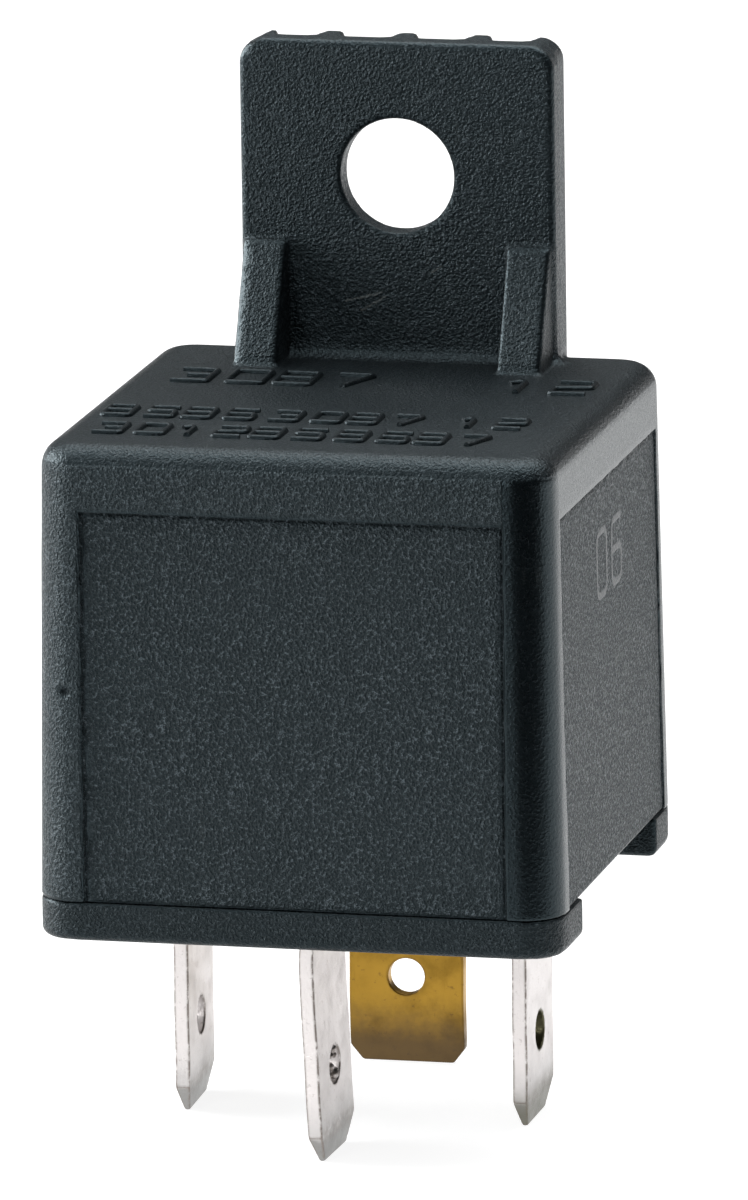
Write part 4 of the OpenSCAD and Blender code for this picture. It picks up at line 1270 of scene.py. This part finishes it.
class Nodes(Tree):
    """A Geometry Nodes group that ends in real, smooth geometry with one material."""

    def __init__(self, name, inputs):
        inputs = {"Geometry": ("Geometry", None), **inputs, "Finish": ("Material", None)}
        tree, self.given, self.out = new_group(name, "Geometry", inputs, {"Geometry": "Geometry"})
        super().__init__(tree.tree)

    def made(self, kind, values, output=0, **settings):
        return self.add("GeometryNode" + kind, values, **settings).outputs[output]

    def sweep(self, curve, profile):
        values = {"Curve": curve, "Profile Curve": profile, "Fill Caps": True}
        return self.made("CurveToMesh", values)

    def join(self, *parts):
        node = self.add("GeometryNodeJoinGeometry")
        for part in parts:
            self.link(part, node.inputs[0])
        return node.outputs[0]

    def end(self, shape):
        shape = self.made("RealizeInstances", {0: shape})
        shape = self.made("SetMaterial", {"Geometry": shape, "Material": self.given["Finish"]})
        self.link(shape, self.out["Geometry"])
        return self.tree


def winding_group():
    """A close helix of wire round a tube, which is the group's own geometry."""
    n = Nodes("coil_winding", dict.fromkeys(("Radius", "Height", "Wire"), ("Float", 0.0)))
    radius, height, wire = (n.given[key] for key in ("Radius", "Height", "Wire"))
    half = n.times(wire, 0.5)
    middle = n.math("SUBTRACT", radius, half)
    turns = n.math("SUBTRACT", n.math("DIVIDE", height, wire), 1.0)
    values = {"Resolution": 40, "Rotations": turns, "Start Radius": middle, "End Radius": middle}
    spiral = n.made("CurveSpiral", {**values, "Height": n.math("SUBTRACT", height, wire)})
    lift = n.add("ShaderNodeCombineXYZ", {"Z": half}).outputs[0]
    spiral = n.made("Transform", {"Geometry": spiral, "Translation": lift})
    profile = n.made("CurvePrimitiveCircle", {"Resolution": 8, "Radius": half})
    return n.end(n.join(n.given["Geometry"], n.sweep(spiral, profile)))


def strands_group():
    """Two layers of strands twisted opposite ways round a path."""
    inputs = {"Radius": ("Float", 0.0), "Strands": ("Int", 7), "Turns": ("Float", 6.0)}
    n = Nodes("braid_strands", inputs)
    radius, strands = n.given["Radius"], n.given["Strands"]
    path = n.made("MeshToCurve", {"Mesh": n.given["Geometry"]})
    path = n.made("CurveSplineType", {0: path}, spline_type="CATMULL_ROM")
    path = n.made("ResampleCurve", {"Curve": path, "Count": 150})
    part = n.math("SINE", n.math("DIVIDE", math.pi, strands))
    strand = n.times(radius, n.math("DIVIDE", part, n.math("ADD", 1.0, part)))
    ring = n.math("SUBTRACT", radius, strand)
    places = n.made("MeshCircle", {"Vertices": strands, "Radius": ring})
    round_one = n.made("CurvePrimitiveCircle", {"Resolution": 7, "Radius": strand})
    profile = n.made("InstanceOnPoints", {"Points": places, "Instance": round_one})
    profile = n.made("RealizeInstances", {0: profile})
    factor = n.add("GeometryNodeSplineParameter").outputs["Factor"]
    layers = []
    for way in (1, -1):
        turn = n.times(factor, n.times(n.given["Turns"], way * math.tau))
        layers.append(n.sweep(n.made("SetCurveTilt", {"Curve": path, "Tilt": turn}), profile))
    return n.end(n.join(*layers))


def rivets_group():
    """One rivet on every point, its axis along a direction."""
    n = Nodes("rivets", {"Rivet": ("Object", None), "Axis": ("Vector", None)})
    rivet = n.made("ObjectInfo", {"Object": n.given["Rivet"]}, "Geometry")
    turn = n.add("FunctionNodeAlignRotationToVector", {"Vector": n.given["Axis"]}, axis="Z")
    values = {"Points": n.given["Geometry"], "Instance": rivet, "Rotation": turn.outputs[0]}
    return n.end(n.made("InstanceOnPoints", values))


def relief_group():
    """Raised rounded strokes along flat lines."""
    n = Nodes("raised_strokes", dict.fromkeys(("Width", "Height", "Bend"), ("Float", 0.0)))
    line = n.made("MeshToCurve", {"Mesh": n.given["Geometry"]})
    values = {"Curve": line, "Count": 3, "Radius": n.given["Bend"]}
    line = n.made("FilletCurve", values, mode="POLY")
    line = n.made("SetCurveNormal", {"Curve": line}, mode="Z_UP")
    unit = n.made("CurvePrimitiveCircle", {"Resolution": 12, "Radius": 1.0})
    half = n.times(n.given["Width"], 0.5)
    size = n.add("ShaderNodeCombineXYZ", {"X": half, "Y": n.given["Height"], "Z": 1.0}).outputs[0]
    profile = n.made("Transform", {"Geometry": unit, "Scale": size})
    return n.end(n.sweep(line, profile))


def grown(name, base, make, look, values, move=None):
    """Runs a node group on a base mesh and keeps the result as a plain mesh object."""
    source = place_mesh(name + "_source", base)
    modifier = source.modifiers.new("grow", "NODES")
    modifier.node_group = group = make()
    sockets = {s.name: s.identifier for s in group.interface.items_tree if s.in_out == "INPUT"}
    for key, value in {**values, "Finish": finish(look)}.items():
        modifier[sockets[key]] = value
    piece = plain_mesh(source, name, move)
    piece.data.shade_smooth()
    piece.data.set_sharp_from_angle(angle=math.radians(50))
    return piece


def upright(x, y, z):
    return Matrix.Translation(Vector((x, y, z)) * MM)


class RELAY_OT_winding(bpy.types.Operator):
    """Wind the coil: a close helix of enamelled wire round the bobbin"""

    bl_idname = "relay.winding"
    bl_label = "Winding"

    def execute(self, context):
        w = sizes("works")
        low, high = box_mm("winding")
        middle = (low + high) / 2
        radius, tall = (high.x - low.x) / 2, high.z - low.z
        core = box_mm("core")
        inner = (core[1].x - core[0].x) / 2 * w.barrel
        outer = radius - w.wire * 0.6
        edge = w.wire * 0.4
        outline = ((inner, edge), (outer, edge), (outer, tall - edge), (inner, tall - edge))
        tube = turned("winding_tube", outline, 64, loop=True)
        values = {"Radius": radius * MM, "Height": tall * MM, "Wire": w.wire * MM}
        move = upright(middle.x, middle.y, low.z)
        piece = grown("coil_winding", tube, winding_group, "coil_wire", values, move)
        finish_piece(piece, "housing", "coil_wire", "winding")
        return {"FINISHED"}


class RELAY_OT_braid(bpy.types.Operator):
    """Lay the copper braid from the flag of the front terminal to the contact spring"""

    bl_idname = "relay.braid"
    bl_label = "Braid"

    def execute(self, context):
        w = sizes("works")
        low, high = box_mm("braid")
        r = w.braid / 2
        top, right = high.z - r, high.x - r
        path = (
            (5.2, low.y + r, low.z),
            (5.5, low.y + r, low.z + 2.2),
            (right * 0.85, low.y + r + 0.2, low.z + 4.85),
            (right * 0.99, -9.2, low.z + 9.05),
            (right, -5.8, low.z + 13.05),
            (right * 0.91, -0.8, top - 0.5),
            (right * 0.61, high.y - r, top),
            (3.2, high.y - r, top - 0.3),
            (low.x, high.y - r, top - 0.3),
        )
        values = {"Radius": r * MM, "Strands": w.strands, "Turns": 7.0}
        base = line_mesh("braid_path", [path])
        piece = grown("copper_braid", base, strands_group, "braid_copper", values)
        finish_piece(piece, None, "braid_copper", "braid")
        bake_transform(piece)
        return {"FINISHED"}


class RELAY_OT_rivets(bpy.types.Operator):
    """Set the domed rivets of the armature, the yoke and the front terminal"""

    bl_idname = "relay.rivets"
    bl_label = "Rivets"

    def execute(self, context):
        w = sizes("works")
        lifted = (0, -math.sin(w.open_angle), math.cos(w.open_angle))
        for node, body, pitch, axis in (
            ("armature_rivets", "armature", 2.6, lifted),
            ("yoke_rivets", "housing", 2.4, (0, -1, 0)),
            ("terminal_rivet", "housing", 0.0, (0, -1, 0)),
        ):
            low, high = box_mm(node)
            middle, size = (low + high) / 2, high - low
            reach = size.z - 0.05 if body == "armature" else size.y
            source = place_mesh("rivet_source", self.rivet(w, reach))
            sides = (-1, 1) if pitch else (0,)
            places = [[middle + Vector((side * pitch, 0, 0))] for side in sides]
            values = {"Rivet": source, "Axis": axis}
            base = line_mesh(node + "_places", places)
            piece = grown("set_" + node, base, rivets_group, "rivet_steel", values)
            bpy.data.objects.remove(source)
            finish_piece(piece, body, "rivet_steel", node)
        return {"FINISHED"}

    def rivet(self, w, reach):
        """A rivet along Z about its middle, reach long from dome to dome."""
        grip = reach / 2 - w.rivet_rise
        dome = [(w.rivet_head * math.sin(a), w.rivet_rise * math.cos(a) ** 0.8) for a in DOME_STEPS]
        low = [(r, -grip - h) for r, h in dome]
        high = [(r, grip + h) for r, h in reversed(dome)]
        shank = [(w.rivet_shank, -grip), (w.rivet_shank, grip)]
        return turned("rivet", [*low, *shank, *high], 32)


DOME_STEPS = [math.pi / 2 * i / 7 for i in range(8)]
# digits two wide and three high, and the step from one to the next
DIGIT_PITCH = 3.1
DIGITS = {
    "0": [[(0, 0), (2, 0), (2, 3), (0, 3), (0, 0)]],
    "1": [[(0.4, 2.3), (1.2, 3), (1.2, 0)]],
    "2": [[(0, 3), (2, 3), (2, 1.6), (0, 1.3), (0, 0), (2, 0)]],
    "3": [[(0, 3), (2, 3), (2, 0), (0, 0)], [(0.6, 1.5), (1.9, 1.5)]],
    "5": [[(2, 3), (0, 3), (0, 1.7), (2, 1.7), (2, 0), (0, 0)]],
    "6": [[(2, 3), (0, 3), (0, 0), (2, 0), (2, 1.6), (0.1, 1.6)]],
    "7": [[(0, 3), (2, 3), (0.8, 0)]],
    "8": [[(0, 0), (2, 0), (2, 3), (0, 3), (0, 0)], [(0.1, 1.6), (1.9, 1.6)]],
}


def number_lines(text, x, y, high):
    """Lines of a number centred at a point."""
    k = high / 3
    left = x - (DIGIT_PITCH * len(text) - 1.1) * k / 2
    lines = []
    for i, digit in enumerate(text):
        for line in DIGITS[digit]:
            start = left + DIGIT_PITCH * i * k
            lines.append([(start + u * k, y + (v - 1.5) * k, 0) for u, v in line])
    return lines


# rows of plain terminal and voltage numbers on the roof: y, height, then the numbers with their x
ROOF_ROWS = (
    (4.6, 2.9, (("30", -8.2), ("87", -2.6), ("12", 9.4))),
    (-4.9, 2.2, (("85", -10.2), ("86", -5.9), ("30", -1.2), ("87", 3.0), ("12", 8.6))),
    (-9.2, 2.2, (("30", -9.6), ("12", -5.4), ("8586", 1.1), ("87", 7.6))),
)


class RELAY_OT_signs(bpy.types.Operator):
    """Raise rows of plain numbers on the roof and a cavity number on the right wall"""

    bl_idname = "relay.signs"
    bl_label = "Signs"

    def execute(self, context):
        w, c, t = sizes("works"), sizes("cover"), sizes("tab")
        field, at = cover_field_for(c, t)
        values = {"Width": 0.36 * MM, "Height": w.relief * MM, "Bend": 0.2 * MM}
        lines = []
        for y, high, row in ROOF_ROWS:
            for text, x in row:
                lines += number_lines(text, x, y, high)
        self.raised("roof_signs", lines, values, upright(0, 0, at.roof))
        # on the wall the sign's X runs along Y and its Y runs up; it leans as the wall does
        place, rise = Vector((0, 0.2, 30.4)), 1.9
        reach = np.linspace(c.width / 2 - 1.1, c.width / 2, 600)
        ends = []
        for z in (place.z - rise, place.z + rise):
            outside = field(reach, np.full(600, place.y), np.full(600, z)) > 0
            ends.append(reach[np.argmax(outside)])
        place.x = sum(ends) / 2
        slope = math.atan2(ends[0] - ends[1], 2 * rise)
        turn = Matrix(((0, -math.sin(slope), 1), (1, 0, 0), (0, math.cos(slope), 0))).to_4x4()
        values = {"Width": 0.42 * MM, "Height": 0.02 * MM, "Bend": 0.6 * MM}
        self.raised("side_number", number_lines("06", 0, 0, 3.4), values, upright(*place) @ turn)
        return {"FINISHED"}

    def raised(self, name, lines, values, move):
        base = line_mesh(name + "_lines", lines)
        piece = grown(name, base, relief_group, "relief_plastic", values, move)
        finish_piece(piece, "housing", "cover_plastic", look="relief_plastic")


class RELAY_OT_spring(bpy.types.Operator):
    """Give the contact spring a welded copy of the frame's mesh, smooth-shaded and sharp at its
    edges
    """

    bl_idname = "relay.spring"
    bl_label = "Contact spring"

    def execute(self, context):
        source = frame["nodes"]["contact_spring"]
        mesh = source.data.copy()
        mesh.transform(source.matrix_world)
        shape = bmesh.new()
        shape.from_mesh(mesh)
        bmesh.ops.remove_doubles(shape, verts=shape.verts, dist=0.002 * MM)
        bmesh.ops.recalc_face_normals(shape, faces=shape.faces)
        shape.to_mesh(mesh)
        shape.free()
        mesh.shade_smooth()
        mesh.set_sharp_from_angle(angle=math.radians(30))
        piece = place_mesh("leaf_spring", mesh)
        finish_piece(piece, None, "spring_bronze", "contact_spring")
        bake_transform(piece)
        return {"FINISHED"}


# ---------------------------------------------------------------- stage


def camera_matrix(s):
    """Place and turn of the camera: it looks at a point a little right of the relay's middle."""
    a, e, r = s.azimuth, s.elevation, s.roll
    right = Vector((math.cos(a), math.sin(a), 0))
    back = Vector((math.sin(a) * math.cos(e), -math.cos(a) * math.cos(e), math.sin(e)))
    up = back.cross(right)
    side = math.cos(r) * right + math.sin(r) * up
    up = math.cos(r) * up - math.sin(r) * right
    aim = s.aim_right * right + Vector((0, 0, s.aim_up))
    place = (aim + back * s.distance) * MM
    turn = Matrix((side, up, back)).transposed()
    return Matrix.Translation(place) @ turn.to_4x4()


# metres: half the floor's side, the black screen's corners and the lamps (place, aim, size, power)
FLOOR_REACH = 6.0
FLAG_CORNERS = ((0.004, -0.05), (-0.10, -0.42), (0.45, -0.42), (0.45, -0.03), (0.10, -0.03))
LAMPS = (
    ("overhead", (0.02, 0.10, 0.42), (0, 0, 0.03), 0.5, 1.0),
    ("front_fill", (-0.34, -0.82, 0.20), (0, 0, 0.02), 0.22, 0.7),
    ("left_window", (-0.50, 0.03, 0.19), (0, 0, 0.03), 0.34, 2.1),
)


def stage_tree(name, store):
    """A new material or world of the stage with its tree."""
    made = store.new(name)
    made.use_nodes = True
    return Tree(made.node_tree), made


class RELAY_OT_stage(bpy.types.Operator):
    """Set up the floor, the lights, the world and the camera"""

    bl_idname = "relay.stage"
    bl_label = "Stage"

    def execute(self, context):
        s = sizes("stage")
        scene = context.scene
        scene.view_settings.view_transform = "Standard"
        camera = bpy.data.objects.new("camera", bpy.data.cameras.new("camera"))
        camera.data.lens = s.lens
        camera.data.sensor_width = 36
        camera.data.clip_start, camera.data.clip_end = 0.01, 20
        camera.matrix_world = camera_matrix(s)
        scene.collection.objects.link(camera)
        scene.camera = camera
        self.floor()
        self.world(scene, s)
        for name, place, aim, size, share_of_key in LAMPS:
            self.light(name, place, aim, size, s.key * share_of_key)
        self.flag()
        return {"FINISHED"}

    def flag(self):
        """A black screen at the front right, which darkens the right corner's reflection."""
        mesh = bpy.data.meshes.new("black_flag")
        points = [(x, y, z) for z in (0.001, 0.22) for x, y in FLAG_CORNERS]
        mesh.from_pydata(points, [], [range(5), (1, 2, 7, 6), (2, 3, 8, 7)])
        card = place_mesh("black_flag", mesh)
        card.visible_camera = card.visible_shadow = card.visible_diffuse = False
        tree, material = stage_tree("black_flag", bpy.data.materials)
        black = tree.tree.nodes["Principled BSDF"].inputs
        black["Base Color"].default_value = (0.01, 0.01, 0.01, 1)
        black["Specular IOR Level"].default_value = 0.0
        mesh.materials.append(material)

    def floor(self):
        """A white floor that keeps shadows; the object mirrors it brighter behind than in front."""
        mesh = bpy.data.meshes.new("floor")
        r = FLOOR_REACH
        mesh.from_pydata([(-r, -r, 0), (r, -r, 0), (r, r, 0), (-r, r, 0)], [], [(0, 1, 2, 3)])
        place_mesh("floor", mesh)
        tree, material = stage_tree("floor", bpy.data.materials)
        tree.tree.nodes.remove(tree.tree.nodes["Principled BSDF"])
        camera, mirror = tree.rays()
        seen = tree.math("ADD", camera, mirror, clamp=True)
        lit = tree.mix(seen, (0.80, 0.80, 0.80, 1), (0.34, 0.34, 0.34, 1))
        diffuse = tree.add("ShaderNodeBsdfDiffuse", {"Color": lit}).outputs[0]
        place = tree.add("ShaderNodeTexCoord").outputs["Object"]
        back = tree.step(tree.axis(place, "Y"), -0.12, 0.04)
        mirror = tree.times(mirror, tree.lerp(back, 0.46, 0.96))
        own = tree.math("ADD", mirror, tree.times(camera, 0.87))
        own = tree.add("ShaderNodeEmission", {"Strength": own}).outputs[0]
        both = tree.add("ShaderNodeAddShader", {0: diffuse, 1: own}).outputs[0]
        tree.link(both, tree.tree.nodes["Material Output"].inputs["Surface"])
        mesh.materials.append(material)

    def world(self, scene, s):
        """Even daylight for the object; what is seen or mirrored is pale low down, darker above."""
        tree, scene.world = stage_tree("studio", bpy.data.worlds)
        ground = tree.tree.nodes["Background"].inputs
        camera, shown = tree.rays()
        height = tree.axis(tree.add("ShaderNodeTexCoord").outputs["Generated"], "Z")
        mirrored = tree.lerp(tree.step(height, -0.08, 0.03), 1.0, 0.07)
        mirrored = tree.lerp(tree.step(height, 0.45, 0.9), mirrored, 0.72)
        level = tree.lerp(shown, s.daylight, mirrored)
        ground["Color"].default_value = (1, 1, 1, 1)
        tree.link(tree.lerp(camera, level, 1.0), ground["Strength"])

    def light(self, name, place, aim, size, power):
        """A square lamp that looks at the relay, which the camera doesn't see."""
        data = bpy.data.lights.new(name, "AREA")
        data.shape = "SQUARE"
        data.size = size
        data.energy = power
        lamp = bpy.data.objects.new(name, data)
        turn = (Vector(aim) - Vector(place)).to_track_quat("-Z", "Y").to_matrix()
        lamp.matrix_world = Matrix.Translation(place) @ turn.to_4x4()
        lamp.visible_camera = False
        bpy.context.scene.collection.objects.link(lamp)


class RELAY_OT_carried(bpy.types.Operator):
    """Give the frame's own inner parts their finishes"""

    bl_idname = "relay.carried"
    bl_label = "Inner parts"

    def execute(self, context):
        for node, name in CARRIED.items():
            piece = frame["nodes"][node]
            finish_piece(piece, None, name)
            weld = piece.modifiers.new("weld", "WELD")
            weld.merge_threshold = 0.002 * MM
            bevel = piece.modifiers.new("bevel", "BEVEL")
            bevel.width, bevel.segments = 0.06 * MM, 2
            bevel.limit_method, bevel.angle_limit = "ANGLE", math.radians(35)
        return {"FINISHED"}


CARRIED = {
    "yoke": "magnet_steel",
    "core": "magnet_steel",
    "armature": "magnet_steel",
    "armature_stop": "plated_strip",
    "bobbin": "bobbin_plastic",
    "coil_lead_85": "coil_wire",
    "coil_lead_86": "coil_wire",
    "moving_contact": "contact_silver",
    "fixed_contact": "contact_silver",
}

OPERATORS = (
    RELAY_OT_cover,
    RELAY_OT_base,
    RELAY_OT_blades,
    RELAY_OT_winding,
    RELAY_OT_braid,
    RELAY_OT_rivets,
    RELAY_OT_spring,
    RELAY_OT_signs,
    RELAY_OT_carried,
    RELAY_OT_stage,
)


class RELAY_PT_panel(bpy.types.Panel):
    """The relay's pieces and stage"""

    bl_label = "Relay"
    bl_idname = "RELAY_PT_panel"
    bl_space_type = "VIEW_3D"
    bl_region_type = "UI"
    bl_category = "Relay"

    def draw(self, context):
        for operator in OPERATORS:
            self.layout.operator(operator.bl_idname)


def register():
    for kind in (*GROUPS.values(), *OPERATORS, RELAY_PT_panel):
        bpy.utils.register_class(kind)
    for name, kind in GROUPS.items():
        setattr(bpy.types.Scene, "relay_" + name, PointerProperty(type=kind))


def unregister():
    for name in GROUPS:
        delattr(bpy.types.Scene, "relay_" + name)
    for kind in (RELAY_PT_panel, *OPERATORS[::-1], *reversed(GROUPS.values())):
        bpy.utils.unregister_class(kind)


def main():
    """Builds every piece and the stage."""
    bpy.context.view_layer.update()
    register()
    for operator in OPERATORS:
        group, name = operator.bl_idname.split(".")
        getattr(getattr(bpy.ops, group), name)()


if __name__ == "__main__":
    main()
